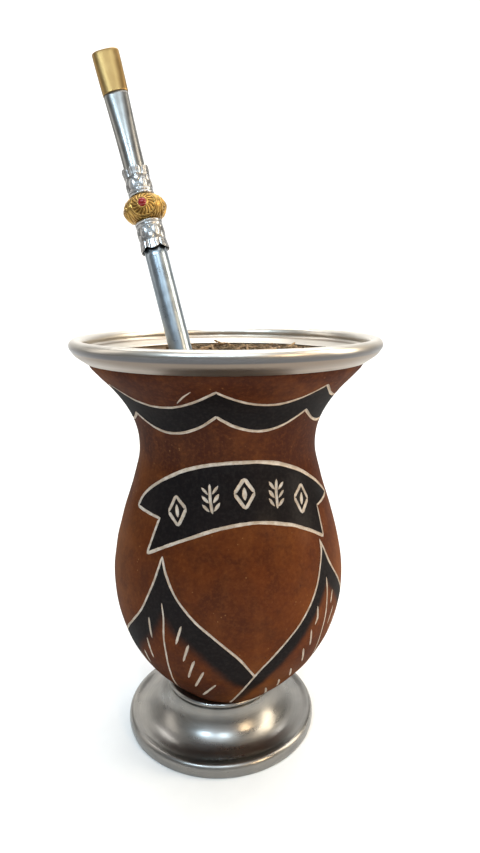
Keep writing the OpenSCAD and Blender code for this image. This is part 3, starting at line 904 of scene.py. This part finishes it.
M = {
    "gourd": gourd_skin(),
    "cut": cut_line(),
    "inside": gourd_inside(),
    # painted shade on the rim: the bead's outer underside is nearly black-grey and the skirt is dark warm brown
    "rim": spun_metal("rim_metal", (0.68, 0.64, 0.575), (0.61, 0.57, 0.51), 0.0, 0.30, 0.39,
                      painted_shade_bands=[(0.0518, 0.1527, 0.1506, (0.095, 0.094, 0.100), 0.97), (0.0490, 0.14985, 0.1494, (0.22, 0.18, 0.145), 0.9)]),
    "foot": spun_metal("foot_metal", (0.30, 0.287, 0.264), (0.24, 0.232, 0.220), -3.4, 0.27, 0.34, depth=0.000025),
    "tube": straw_metal("straw_tube_metal", (0.31, 0.36, 0.40), (0.27, 0.315, 0.355), 0.27, 0.34),
    "neck": straw_metal("straw_neck_metal", (0.25, 0.25, 0.24), (0.22, 0.22, 0.215), 0.27, 0.34),
    "collar": straw_metal("collar_metal", (0.44, 0.44, 0.435), (0.37, 0.37, 0.37), 0.26, 0.34, recess=(0.030, 0.026, 0.022)),
    "ball": straw_metal("gold_ball_metal", (0.48, 0.300, 0.092), (0.36, 0.217, 0.063), 0.25, 0.35, recess=(0.095, 0.048, 0.014), recess_strength=0.8),
    "gold": straw_metal("gold_metal", (0.31, 0.200, 0.078), (0.28, 0.178, 0.068), 0.34, 0.40),
    "stone": red_stone(),
    "core": leaf_core(),
    "flake": leaf_bits("leaf_flakes", (0.060, 0.030, 0.012), (0.235, 0.145, 0.062), (0.115, 0.080, 0.026)),
    "stick": leaf_bits("leaf_sticks", (0.19, 0.105, 0.045), (0.38, 0.25, 0.12), (0.13, 0.066, 0.025)),
    "infusion": infusion_mat(),
    "foam": foam_mat(),
}

gourd = build_gourd()

# ------------------------------------------------------------------ rim

bead = arc(52.8, 151.3, 2.2, -42, 210, 7.0)
back = bead[-1]
inner_line = spline([back, (back[0] - 1.4, back[1] - 0.95), (47.0, 148.05), (45.75, 147.55), (45.42, 147.25)], 5)[1:]
skirt_r, skirt_z = 50.7, 146.35
crease = bead[0]
skirt = spline([(49.8, 145.72), (skirt_r, skirt_z), (skirt_r + 0.62 * (crease[0] - skirt_r) + 0.25, skirt_z + 0.58 * (crease[1] - skirt_z) - 0.1), crease], 6)[:-1]
section = bead + [tuple(p) for p in inner_line] + [(45.42, 147.02), (49.15, 147.02), (49.08, 146.1), (49.3, 145.62)] + [tuple(p) for p in skirt]


def rim_wobble(a, r, z):
    low = 0.5 + 0.5 * np.sin(3 * a + 0.7) * np.cos(2 * a - 0.4)
    dent = 0.35 * np.sin(11 * a + 2.1) + 0.3 * np.sin(17 * a + 0.3) + 0.25 * np.sin(29 * a + 1.0)
    outer = smooth((r - 49.6) / 3.0)
    return r - outer * (0.10 * low + 0.05 * (1 + dent)), z - outer * (0.07 * low + 0.035 * (1 + dent))


pts, faces = lathe(section, 256, rim_wobble)
make("rim_metal", pts, faces, [M["rim"]], "rim")

# ------------------------------------------------------------------ foot

side = spline([(36.8, 0.15), (37.13, 0.7), (37.3, 2.0), (37.13, 3.6), (36.5, 4.75), (35.7, 5.15), (34.9, 5.0), (33.7, 4.5), (32.3, 4.35), (30.3, 4.6),
               (28.3, 5.3), (26.3, 6.5), (24.5, 8.1), (23.1, 10.0), (22.1, 11.9), (21.4, 13.8), (21.05, 15.6)], 4)
collar = arc(20.3, 17.2, 1.1, -52, 90, 12.0)
under = [(8.0, 8.6), (13.0, 8.6), (17.4, 8.1), (21.0, 7.3), (24.8, 5.6), (28.2, 3.9), (31.2, 3.0), (33.2, 2.7), (34.0, 1.8), (34.2, 0.3), (34.5, 0.0), (36.3, 0.0), (36.6, 0.03)]
section = [tuple(p) for p in side] + collar + [(17.0, 18.25), (12.0, 18.0), (8.0, 17.6)] + under
n = 192
pts, faces = lathe(section, n, lambda a, r, z: (r - 0.10 * smooth((r - 24) / 10) * (1 + np.sin(2 * a + 1.0)) * 0.5, z), center=(-3.4, 0.0), closed=True)
pts = [tuple(p) for p in pts]
make("foot_metal", pts, faces, [M["foot"]], "foot")

# ------------------------------------------------------------------ straw

HEAD, LEAN = math.radians(137.8), math.radians(18.45)
STRAW = Matrix.Translation((8.6, -27.0, 48.5)) @ Matrix.Rotation(HEAD, 4, "Z") @ Matrix.Rotation(LEAN, 4, "Y") @ Matrix.Rotation(-HEAD, 4, "Z")
SM = np.array(STRAW)


def on_straw(p):
    p = np.asarray(p, float)
    return p @ SM[:3, :3].T + SM[:3, 3]


def loft(rows, n, close=True):
    """Points and faces through rows of n points each; close joins the last row to the first."""
    pts = np.concatenate(rows)
    m = len(rows)
    faces = []
    for j in range(m if close else m - 1):
        l = (j + 1) % m
        for i in range(n):
            k = (i + 1) % n
            faces.append((j * n + i, j * n + k, l * n + k, l * n + i))
    return pts, faces


def ring(wx, wy, z, n=96, power=2.0):
    a = np.linspace(0, 2 * math.pi, n, endpoint=False)
    c, s = np.cos(a), np.sin(a)
    x = 0.5 * wx * np.sign(c) * np.abs(c) ** (2 / power)
    y = 0.5 * wy * np.sign(s) * np.abs(s) ** (2 / power)
    return np.stack([x, y, np.full(n, z)], -1)


rows = [ring(8.0, 8.0, z) for z in np.linspace(0.0, 143.0, 40)] + [ring(6.4, 6.4, z) for z in np.linspace(143.0, 0.0, 20)]
pts, faces = loft(rows, 96)
make("straw_tube_metal", on_straw(pts), faces, [M["tube"]], "straw_tube")

NECK0, GOLD0, END = 169.6, 198.0, 213.5
TIP = END - 0.2      # the rounded end stops just short of the flat one


def flat(z):
    b = float(smooth(np.array((z - NECK0) / (END - NECK0))))
    return 7.6 + 1.8 * b * (0.75 + 0.25 * b), 7.6 - 3.2 * b, 2 + 0.5 * b


def neck_ring(z, grow=0.0):
    w, t, p = flat(z)
    return ring(w + grow, t + grow, z, 96, p)


rows = [neck_ring(z) for z in np.linspace(NECK0, GOLD0 - 0.02, 34)] + [neck_ring(z, -1.8) for z in np.linspace(GOLD0 - 0.02, NECK0, 18)]
pts, faces = loft(rows, 96)
make("straw_neck_metal", on_straw(pts), faces, [M["neck"]], "straw_neck")

rows = [neck_ring(GOLD0, -0.6), neck_ring(GOLD0, 0.12), neck_ring(GOLD0 + 0.18, 0.3)] + [neck_ring(z, 0.3) for z in np.linspace(GOLD0 + 0.5, TIP - 0.75, 20)]
for a in (22, 45, 68, 90):
    rows.append(neck_ring(TIP - 0.75 + 0.75 * math.sin(math.radians(a)), 0.3 - 1.5 * (1 - math.cos(math.radians(a))) * 0.62))
rows += [neck_ring(TIP - 0.08, -1.35), neck_ring(TIP - 0.6, -1.75)] + [neck_ring(z, -1.8) for z in np.linspace(TIP - 1.2, GOLD0, 8)]
pts, faces = loft(rows, 96)
make("mouthpiece_gold", on_straw(pts), faces, [M["gold"]], "mouthpiece")

BALL = 156.5


def relief_collar(name, z0, z1, crown_up, petals, node, girth):
    """A short tube worked with leaves in low relief, flaring into a crown of round petals at one end."""
    n, m = 240, 64
    a = np.linspace(0, 2 * math.pi, n, endpoint=False)
    length = z1 - z0
    outer, hol = [], []
    for j in range(m):
        t = j / (m - 1)                                  # 0 at the plain end, 1 at the crown's tips
        pet = np.abs(np.cos(0.5 * petals * a))           # 1 in the middle of a petal
        edge = 1 - 0.15 * (1 - pet ** 0.62)               # petals stop short between them
        tt = t * edge
        flare = 0.34 * smooth((tt - 0.66) / 0.34) ** 1.3
        r = girth + flare
        # rings near the ball
        rings = 0.26 * np.exp(-((tt - 0.045) / 0.035) ** 2) + 0.16 * np.exp(-((tt - 0.155) / 0.028) ** 2)
        # leaves: a row of pointed leaves in the middle, veins and small beads between
        u = (a * petals / (2 * math.pi)) % 1.0 - 0.5
        v = (tt - 0.40) / 0.20
        leaf = np.clip(1 - (np.abs(u) / 0.33) ** 1.4 - np.abs(v) ** 2.0, 0, 1) ** 0.6
        vein = np.exp(-(u / 0.035) ** 2) * (leaf > 0.05)
        u2 = (a * petals / (2 * math.pi) + 0.5) % 1.0 - 0.5
        v2 = (tt - 0.56) / 0.12
        leaf2 = np.clip(1 - (np.abs(u2) / 0.26) ** 1.6 - np.abs(v2) ** 2.0, 0, 1) ** 0.6
        bead = np.clip(1 - (u2 / 0.10) ** 2 - ((tt - 0.27) / 0.05) ** 2, 0, 1) ** 0.5
        up = 0.30 * leaf - 0.10 * vein + 0.26 * leaf2 + 0.22 * bead
        # the petals themselves: raised middle with a groove round
        w = (a * petals / (2 * math.pi) + 0.0) % 1.0
        pu = np.minimum(w, 1 - w) * 2                    # 0 in the middle of a petal, 1 between two
        top = smooth((tt - 0.64) / 0.08)
        pet_h = top * (0.22 * (1 - smooth((pu - 0.55) / 0.35)) - 0.16 * np.exp(-((pu - 0.97) / 0.12) ** 2))
        groove = top * 0.13 * np.exp(-((pu - 0.42) / 0.07) ** 2) * (tt > 0.68)
        field = smooth((tt - 0.20) / 0.03) * (1 - smooth((tt - 0.66) / 0.03))
        r = r + rings + up * field + pet_h - groove
        r = np.minimum(r, 4.9 + 0.28 * smooth((tt - 0.6) / 0.4))
        low = field * np.clip(1 - up / 0.12, 0, 1) + top * np.clip((pu - 0.86) / 0.1, 0, 1) + top * np.exp(-((pu - 0.42) / 0.06) ** 2) * 0.8
        low += np.exp(-((tt - 0.10) / 0.018) ** 2)
        z = z0 + tt * length if crown_up else z1 - tt * length
        outer.append(np.stack([r * np.sin(a), -r * np.cos(a), z], -1))
        hol.append(np.clip(low, 0, 1))
    # over the petal tips and down the inside
    last = outer[-1]
    rr = np.hypot(last[:, 0], last[:, 1])
    for k, (dr, dz) in enumerate(((-0.14, 0.05), (-0.34, 0.0))):
        q = last.copy()
        q[:, :2] *= ((rr + dr) / rr)[:, None]
        q[:, 2] += dz if crown_up else -dz
        outer.append(q)
        hol.append(np.zeros(n))
    inside_end = outer[-1]
    ri = np.hypot(inside_end[:, 0], inside_end[:, 1])
    for t in (0.3, 0.65, 1.0):
        q = inside_end.copy()
        r = ri * (1 - t) + 4.02 * t
        q[:, :2] *= (r / ri)[:, None]
        zc = z0 + 0.80 * length if crown_up else z1 - 0.80 * length
        q[:, 2] = inside_end[:, 2] * (1 - t) + zc * t
        outer.append(q)
        hol.append(np.full(n, 0.9))
    zb = z0 if crown_up else z1
    outer.append(np.stack([4.02 * np.sin(a), -4.02 * np.cos(a), np.full(n, zb)], -1))
    hol.append(np.full(n, 0.9))
    pts, faces = loft(outer, n)
    o = make(name, on_straw(pts), faces, [M["collar"]], node)
    attribute(o, "hollow", np.concatenate(hol))
    return o


relief_collar("collar_lower_metal", 141.6, 151.95, False, 6, "straw_collar_lower", 4.60)
relief_collar("collar_upper_metal", 161.05, 170.8, True, 6, "straw_collar_upper", 4.38)


def gold_ball():
    n, m = 360, 96
    HX, HZ = 7.75, 5.4
    rosettes = [math.radians(d) for d in (1, 91, 181, 271)]
    rows, hol = [], []
    lim = math.asin(4.65 / HZ)
    for j in range(m):
        f = -lim + 2 * lim * j / (m - 1)
        z = HZ * math.sin(f)
        r0 = HX * math.cos(f)
        a = np.linspace(0, 2 * math.pi, n, endpoint=False)
        d = np.zeros(n)
        h = np.zeros(n)
        for c in rosettes:
            u = (a - c + math.pi) % (2 * math.pi) - math.pi
            near = np.abs(u) < math.radians(45.5)
            X = u * (0.5 * HX + 0.5 * r0)
            Y = f * 0.5 * (HX + HZ) * 0.92
            rho = np.hypot(X, Y)
            phi = np.arctan2(Y, X) + 0.16 * rho              # the petals turn a little, like a pinwheel
            w = smooth((4.55 - rho) / 0.35) * near
            flute = 0.5 + 0.5 * np.cos(16 * phi)
            band = smooth((rho - 1.9) / 0.4) * w
            d -= 0.42 * (1 - flute ** 0.8) * band
            h = np.maximum(h, (1 - smooth((flute - 0.02) / 0.5)) * band * 0.9)
            # raised ring round the rosette, with a groove outside it
            d += (0.20 * np.exp(-((rho - 4.55) / 0.24) ** 2) - 0.30 * np.exp(-((rho - 5.1) / 0.26) ** 2)) * near
            h = np.maximum(h, 0.9 * np.exp(-((rho - 5.1) / 0.22) ** 2) * near)
            # outside the ring: longer flutes that run over the shoulders
            outer = smooth((rho - 5.35) / 0.3) * near
            fl2 = 0.5 + 0.5 * np.cos(32 * (a - c))
            d -= 0.26 * (1 - fl2) * outer
            h = np.maximum(h, (1 - smooth((fl2 - 0.02) / 0.45)) * outer * 0.75)
            if c > 0.1:                                      # three rosettes end in a small button, the front one in the stone
                d += 0.30 * np.clip(1 - (rho / 1.7) ** 2, 0, 1) * near
                h = np.maximum(h, 0.8 * np.exp(-((rho - 1.85) / 0.2) ** 2) * near)
        r = r0 - 0.16 + np.minimum(d, 0.0) * (0.55 + 0.45 * math.cos(f)) + np.maximum(d, 0.0) * 0.7
        rows.append(np.stack([r * np.sin(a), -r * np.cos(a), np.full(n, BALL + z)], -1))
        hol.append(np.clip(h, 0, 1))
    for z in (4.65, -4.65):
        for r in ((3.0, 1.0) if z > 0 else (1.0, 3.0)):
            a = np.linspace(0, 2 * math.pi, n, endpoint=False)
            rows.append(np.stack([r * np.sin(a), -r * np.cos(a), np.full(n, BALL + z)], -1))
            hol.append(np.ones(n))
    pts, faces = loft(rows, n)
    verts = [tuple(p) for p in pts]
    hollow = list(np.concatenate(hol))
    # bezel round the stone
    c = np.array([0.1, -7.5, BALL])
    ny = np.array([0.013, -1.0, 0.0])
    ny /= np.linalg.norm(ny)
    ux = np.cross(ny, (0, 0, 1.0))
    ux /= np.linalg.norm(ux)
    uz = np.cross(ux, ny)
    base = len(verts)
    N, K = 48, 12
    for i in range(N):
        t = 2 * math.pi * i / N
        for k in range(K):
            s = 2 * math.pi * k / K
            R = 1.66 + 0.30 * math.cos(s)
            verts.append(tuple(c + (ux * math.cos(t) + uz * math.sin(t)) * R + ny * (0.05 + 0.40 * math.sin(s))))
            hollow.append(0.0)
    for i in range(N):
        for k in range(K):
            faces.append((base + i * K + k, base + ((i + 1) % N) * K + k, base + ((i + 1) % N) * K + (k + 1) % K, base + i * K + (k + 1) % K))
    o = make("straw_ball_gold", on_straw(verts), faces, [M["ball"]], "straw_ball")
    attribute(o, "hollow", hollow)
    # the stone
    sv, sf = [], []
    N, K = 40, 14
    for k in range(K + 1):
        b = math.radians(-60 + 150 * k / K)
        for i in range(N):
            t = 2 * math.pi * i / N
            R = 1.50 * math.cos(b) if k < K else 0.02
            sv.append(c + (ux * math.cos(t) + uz * math.sin(t)) * R + ny * (0.15 + 1.05 * math.sin(b)))
    for k in range(K):
        for i in range(N):
            sf.append((k * N + i, k * N + (i + 1) % N, (k + 1) * N + (i + 1) % N, (k + 1) * N + i))
    sf.append(tuple(range(N)))
    sf.append(tuple(K * N + i for i in range(N))[::-1])
    make("straw_stone_red", on_straw(sv), sf, [M["stone"]], "straw_stone")


gold_ball()

# ------------------------------------------------------------------ leaves and infusion

EX, EY = -13.6, -5.2
LEVEL = 141.0
fine_heap, mid_heap = Wave(3.2, 21, 40), Wave(11.0, 22, 30)


def pit(x, y, w):
    return np.exp(-((x - EX) ** 2 + (y - EY) ** 2) / (2 * w * w))


def heap(x, y):
    side = smooth((x * 0.72 + y * 0.69 + 30) / 52)
    p = np.stack([x, y, 0 * x], -1)
    rough = 1 - pit(x, y, 7)
    return 144.3 + 2.1 * side - 8 * pit(x, y, 8.5) + 0.42 * mid_heap(p) * rough - 0.55


n, m = 300, 84
rad = np.linspace(0.0, 1.0, m + 1)[1:]
verts, wet = [(0.0, 0.0, float(heap(np.array(0.0), np.array(0.0))))], [0.0]
a = np.linspace(0, 2 * math.pi, n, endpoint=False)


def wall_r(z):
    """Radius of the gourd's inner wall at a height."""
    s = float(s_of_z(z))
    r, nz, nr = np.interp(s, _s, _r), -np.interp(s, _s, _dr), np.interp(s, _s, _dz)
    return float(r - 3.6 * nr - 0.6 * abs(nz))


WALL_TOP = 43.2
for t in rad:
    r = WALL_TOP * t
    x, y = r * np.sin(a), -r * np.cos(a)
    z = heap(x, y)
    z = z + 0.26 * fine_heap(np.stack([x, y, 0 * x], -1)) * (1 - 0.6 * pit(x, y, 7))
    for i in range(n):
        rw = wall_r(z[i]) if t > 0.9 else 99.0
        k = min(1.0, rw / max(r, 1e-6))
        verts.append((x[i] * k, y[i] * k, z[i]))
    wet.extend(np.clip(1.15 * smooth((LEVEL + 1.9 - z) / 1.9) + 0.55 * pit(x, y, 13), 0, 1))
faces = [(0, 1 + (i + 1) % n, 1 + i) for i in range(n)]
for j in range(m - 1):
    b0, b1 = 1 + j * n, 1 + (j + 1) * n
    faces.extend((b0 + i, b0 + (i + 1) % n, b1 + (i + 1) % n, b1 + i) for i in range(n))
last = 1 + (m - 1) * n
for z in (139.5, 136, 132, 128, 122, 114.5, 107, 100, 90, 78, 65, 53, 41, 33, 27, 22, 18.5, 16.0):
    r = wall_r(z)
    base = len(verts)
    verts.extend((r * math.sin(q), -r * math.cos(q), z) for q in a)
    wet.extend([0.0] * n)
    faces.extend((last + i, last + (i + 1) % n, base + (i + 1) % n, base + i) for i in range(n))
    last = base
faces.append(tuple(last + i for i in range(n)))
core = make("yerba_core", verts, faces, [M["core"]], "yerba")
attribute(core, "wet", wet)

FOOTP = np.array(STRAW @ Vector((0, 0, 0)))
AXIS = SM[:3, 2]


def clear_of_straw(x, y, z, d):
    k = (z - FOOTP[2]) / AXIS[2]
    c = FOOTP + AXIS * k
    return math.hypot(x - c[0], y - c[1]) > d


def scatter(name, count, kind, mat, seed):
    """Loose bits lying on the heap: small bent leaf pieces or short woody sticks, all closed solids."""
    r = np.random.default_rng(seed)
    verts, faces, tone, wetness = [], [], [], []
    done = 0
    while done < count:
        rr, t = 44.2 * math.sqrt(r.random()), r.random() * 2 * math.pi
        x, y = rr * math.sin(t), -rr * math.cos(t)
        z = float(heap(np.array(x), np.array(y)))
        if kind == "stick":
            L, W = r.uniform(2.4, 7.0), r.uniform(0.55, 1.15)
            if r.random() < 0.12:
                L, W = r.uniform(7, 11), r.uniform(0.8, 1.25)
        else:
            L = float(np.clip(r.lognormal(0.12, 0.50), 0.45, 3.8))
            W = L * r.uniform(0.42, 0.85)
        reach = 0.5 * L + 0.4
        if rr + (reach if kind == "stick" else 0.45 * reach) > wall_r(z) - 0.1 or not clear_of_straw(x, y, z, 4.3 + reach * 0.8):
            continue
        if z < LEVEL + 0.1 and kind == "stick":
            continue
        head = r.uniform(0, 2 * math.pi)
        e = 0.8
        tilt = 0.16 if kind == "stick" else 0.62 / (1 + 0.9 * L)
        gx = (float(heap(np.array(x + e), np.array(y))) - float(heap(np.array(x - e), np.array(y)))) / (2 * e)
        gy = (float(heap(np.array(x), np.array(y + e))) - float(heap(np.array(x), np.array(y - e)))) / (2 * e)
        up = Vector((-gx + r.normal(0, tilt), -gy + r.normal(0, tilt), 1)).normalized()
        fw = Vector((math.cos(head), math.sin(head), 0))
        fw = (fw - up * fw.dot(up)).normalized()
        sd = up.cross(fw)
        zz = z + (0.28 * float(fine_heap(np.array([x, y, 0.0])))) + r.uniform(0.12, 0.55)
        if kind == "stick":
            zz = z + r.uniform(0.35, 0.8) + 0.3
        c = Vector((x, y, zz))
        base = len(verts)
        if kind == "stick":
            k = 6
            bend = r.normal(0, 0.05)
            for q, f in ((-0.5, 0.86), (-0.47, 1.0), (-0.16, 0.95), (0.16, 1.03), (0.47, 0.98), (0.5, 0.84)):
                for i in range(k):
                    w = 2 * math.pi * i / k
                    g = r.uniform(0.94, 1.06)
                    verts.append(tuple(c + fw * (q * L) + sd * (0.5 * W * f * g * math.cos(w) + bend * L * (0.25 - q * q)) + up * (0.42 * W * f * g * math.sin(w))))
            for j in range(5):
                faces.extend((base + j * k + i, base + j * k + (i + 1) % k, base + (j + 1) * k + (i + 1) % k, base + (j + 1) * k + i) for i in range(k))
            faces.append(tuple(base + i for i in range(k))[::-1])
            faces.append(tuple(base + 5 * k + i for i in range(k)))
            cnt = 6 * k
        else:
            k = 6
            th = r.uniform(0.10, 0.22)
            cur = r.normal(0, 0.16) * L
            out = []
            for i in range(k):
                w = 2 * math.pi * i / k + r.uniform(-0.25, 0.25)
                g = r.uniform(0.72, 1.12)
                px, py = 0.5 * L * math.cos(w) * g, 0.5 * W * math.sin(w) * g
                h = cur * ((px / (0.5 * L)) ** 2 - 0.4)
                out.append((px, py, h))
            for s in (0.5, -0.5):
                for px, py, h in out:
                    verts.append(tuple(c + fw * px + sd * py + up * (h + s * th)))
                verts.append(tuple(c + up * (-0.4 * cur + s * (th + 0.1))))
            A, B = base, base + k + 1
            for i in range(k):
                j = (i + 1) % k
                faces.append((A + k, A + i, A + j))
                faces.append((B + k, B + j, B + i))
                faces.append((A + i, B + i, B + j, A + j))
            cnt = 2 * (k + 1)
        tn = float(np.clip(r.beta(1.5, 2.2), 0, 1))
        w_ = float(np.clip(1.1 * smooth(np.array((LEVEL + 1.8 - z) / 1.9)) + 0.6 * pit(x, y, 12), 0, 1))
        tone.extend([tn] * cnt)
        wetness.extend([w_] * cnt)
        done += 1
    o = make(name, verts, faces, [mat], None, smooth_shade=False)
    attribute(o, "tone", tone)
    attribute(o, "wet", wetness)
    return o


flakes = scatter("yerba_flakes", 6400, "flake", M["flake"], 31)
sticks = scatter("yerba_sticks", 190, "stick", M["stick"], 32)

# the little pool round the straw, its edge hidden in the leaves
n = 96
a = np.linspace(0, 2 * math.pi, n, endpoint=False)
rows = []
for r, z in ((0.05, LEVEL - 7), (9.5, LEVEL - 6.2), (12.6, LEVEL - 2.5), (13.2, LEVEL - 0.35), (12.6, LEVEL - 0.02)):
    rows.append(np.stack([EX + r * np.cos(a), EY + r * np.sin(a), np.full(n, z)], -1))
for r in np.linspace(11.8, 4.9, 16):
    x, y = EX + r * np.cos(a), EY + r * np.sin(a)
    z = LEVEL - 0.02 + 0.03 * np.sin(0.9 * x + 0.4 * y) + 0.55 * np.exp(-(r - 4.5) / 0.5)
    rows.append(np.stack([x, y, z], -1))
for r in (3.0, 0.05):
    rows.append(np.stack([EX + r * np.cos(a), EY + r * np.sin(a), np.full(n, LEVEL + 0.2)], -1))
pts, faces = loft(rows, n, close=False)
faces.append(tuple(range(n)))
faces.append(tuple(len(pts) - n + i for i in range(n))[::-1])
make("infusion_pool", pts, faces, [M["infusion"]], "infusion")

# small bubbles along the pool's edge
r = np.random.default_rng(40)
verts, faces = [], []
for _ in range(70):
    t = r.uniform(0, 2 * math.pi)
    d = r.uniform(6.6, 9.6)
    x, y = EX + d * math.cos(t), EY + d * math.sin(t)
    if not clear_of_straw(x, y, LEVEL, 5.4):
        continue
    R = r.uniform(0.35, 0.95)
    base = len(verts)
    K, N = 6, 12
    for k in range(K + 1):
        b = math.radians(-30 + 118 * k / K)
        for i in range(N):
            w = 2 * math.pi * i / N
            verts.append((x + R * math.cos(b) * math.cos(w), y + R * math.cos(b) * math.sin(w), LEVEL + R * 0.8 * math.sin(b)))
    for k in range(K):
        faces.extend((base + k * N + i, base + k * N + (i + 1) % N, base + (k + 1) * N + (i + 1) % N, base + (k + 1) * N + i) for i in range(N))
    faces.append(tuple(base + i for i in range(N))[::-1])
    faces.append(tuple(base + K * N + i for i in range(N)))
make("infusion_bubbles", verts, faces, [M["foam"]], None)

# ------------------------------------------------------------------ floor, light, camera

scene = bpy.context.scene
scene.view_settings.view_transform = "Standard"

fm = Tree("floor_paper")
fP = fm.coords()
fn = fm.noise(fP, 40.0, 4.0, 0.6)
fm.set(Base_Color=fm.mix(fm.ramp(fn, 0.3, 0.7), (0.80, 0.80, 0.795), (0.83, 0.83, 0.825)), Roughness=0.75, Specular_IOR_Level=0.25, Normal=fm.bump(fn, 0.1, 0.0003))
prof = [(-3.0, 0.0), (0.0, 0.0), (1.1, 0.0)] + [(1.1 + 0.7 * math.sin(q), 0.7 - 0.7 * math.cos(q)) for q in np.linspace(0.08, math.pi / 2, 20)] + [(1.8, 3.2)]
fv = [(x, y, z) for y, z in prof for x in (-3.5, 3.5)]
me = bpy.data.meshes.new("floor")
me.from_pydata(fv, [], [(2 * k, 2 * k + 1, 2 * k + 3, 2 * k + 2) for k in range(len(prof) - 1)])
me.polygons.foreach_set("use_smooth", np.full(len(me.polygons), True))
me.materials.append(fm.mat)
floor = bpy.data.objects.new("floor", me)
scene.collection.objects.link(floor)

world = bpy.data.worlds.new("studio")
world.use_nodes = True
bg = world.node_tree.nodes["Background"]
bg.inputs[0].default_value = (1.0, 0.99, 0.975, 1.0)
bg.inputs[1].default_value = 0.30
scene.world = world


def lamp(name, at, to, size, watts, color=(1, 1, 1)):
    L = bpy.data.lights.new(name, "AREA")
    L.shape = "RECTANGLE"
    L.size, L.size_y = size
    L.energy = watts
    L.color = color
    o = bpy.data.objects.new(name, L)
    o.location = at
    o.rotation_euler = (Vector(to) - Vector(at)).to_track_quat("-Z", "Y").to_euler()
    scene.collection.objects.link(o)
    return o


lamp("key_right", (0.72, -0.05, 0.42), (0, 0, 0.09), (0.30, 0.70), 4.8, (1.0, 0.88, 0.70))
lamp("side_left", (-0.72, 0.10, 0.42), (0, 0, 0.09), (0.25, 0.55), 0.8, (1.0, 0.95, 0.88))
lamp("cool_left", (-0.36, -0.60, 0.66), (0, 0, 0.05), (0.07, 0.07), 2.6, (0.60, 0.82, 1.0))
lamp("cool_front", (0.03, -0.72, 0.80), (0, 0, 0.04), (0.07, 0.06), 2.2, (0.66, 0.86, 1.0))
lamp("warm_spot", (0.50, -0.52, 0.40), (0.01, 0, 0.07), (0.14, 0.14), 1.5, (1.0, 0.74, 0.46))
lamp("top", (0.10, 0.10, 1.10), (0, 0, 0.12), (0.7, 0.7), 4.8, (1.0, 0.97, 0.92))
lamp("front_fill", (-0.10, -0.95, 1.05), (0, 0, 0.12), (1.30, 1.00), 4.4, (0.97, 0.985, 1.0))
lamp("backdrop", (0.0, 0.75, 1.5), (0, 1.6, 0.5), (2.4, 0.6), 34.0, (1.0, 0.99, 0.97))

right = Vector((0.99948, -0.03195, -0.00480))
up = Vector((0.01168, 0.21876, 0.97571))
fwd = Vector((0.03013, 0.97526, -0.21902))
aim = (fwd + 0.00643 * right - 0.00191 * up).normalized()
right = (right - aim * right.dot(aim)).normalized()
up = right.cross(aim)
cam = bpy.data.cameras.new("camera")
cam.sensor_width, cam.lens, cam.sensor_fit = 36.0, 25.245, "AUTO"
cam.clip_start, cam.clip_end = 0.01, 50.0
cam_o = bpy.data.objects.new("camera", cam)
scene.collection.objects.link(cam_o)
m = Matrix((right, up, -aim)).transposed().to_4x4()
m.translation = Vector((-3.382, -216.503, 169.096)) * MM
cam_o.matrix_world = m
scene.camera = cam_o
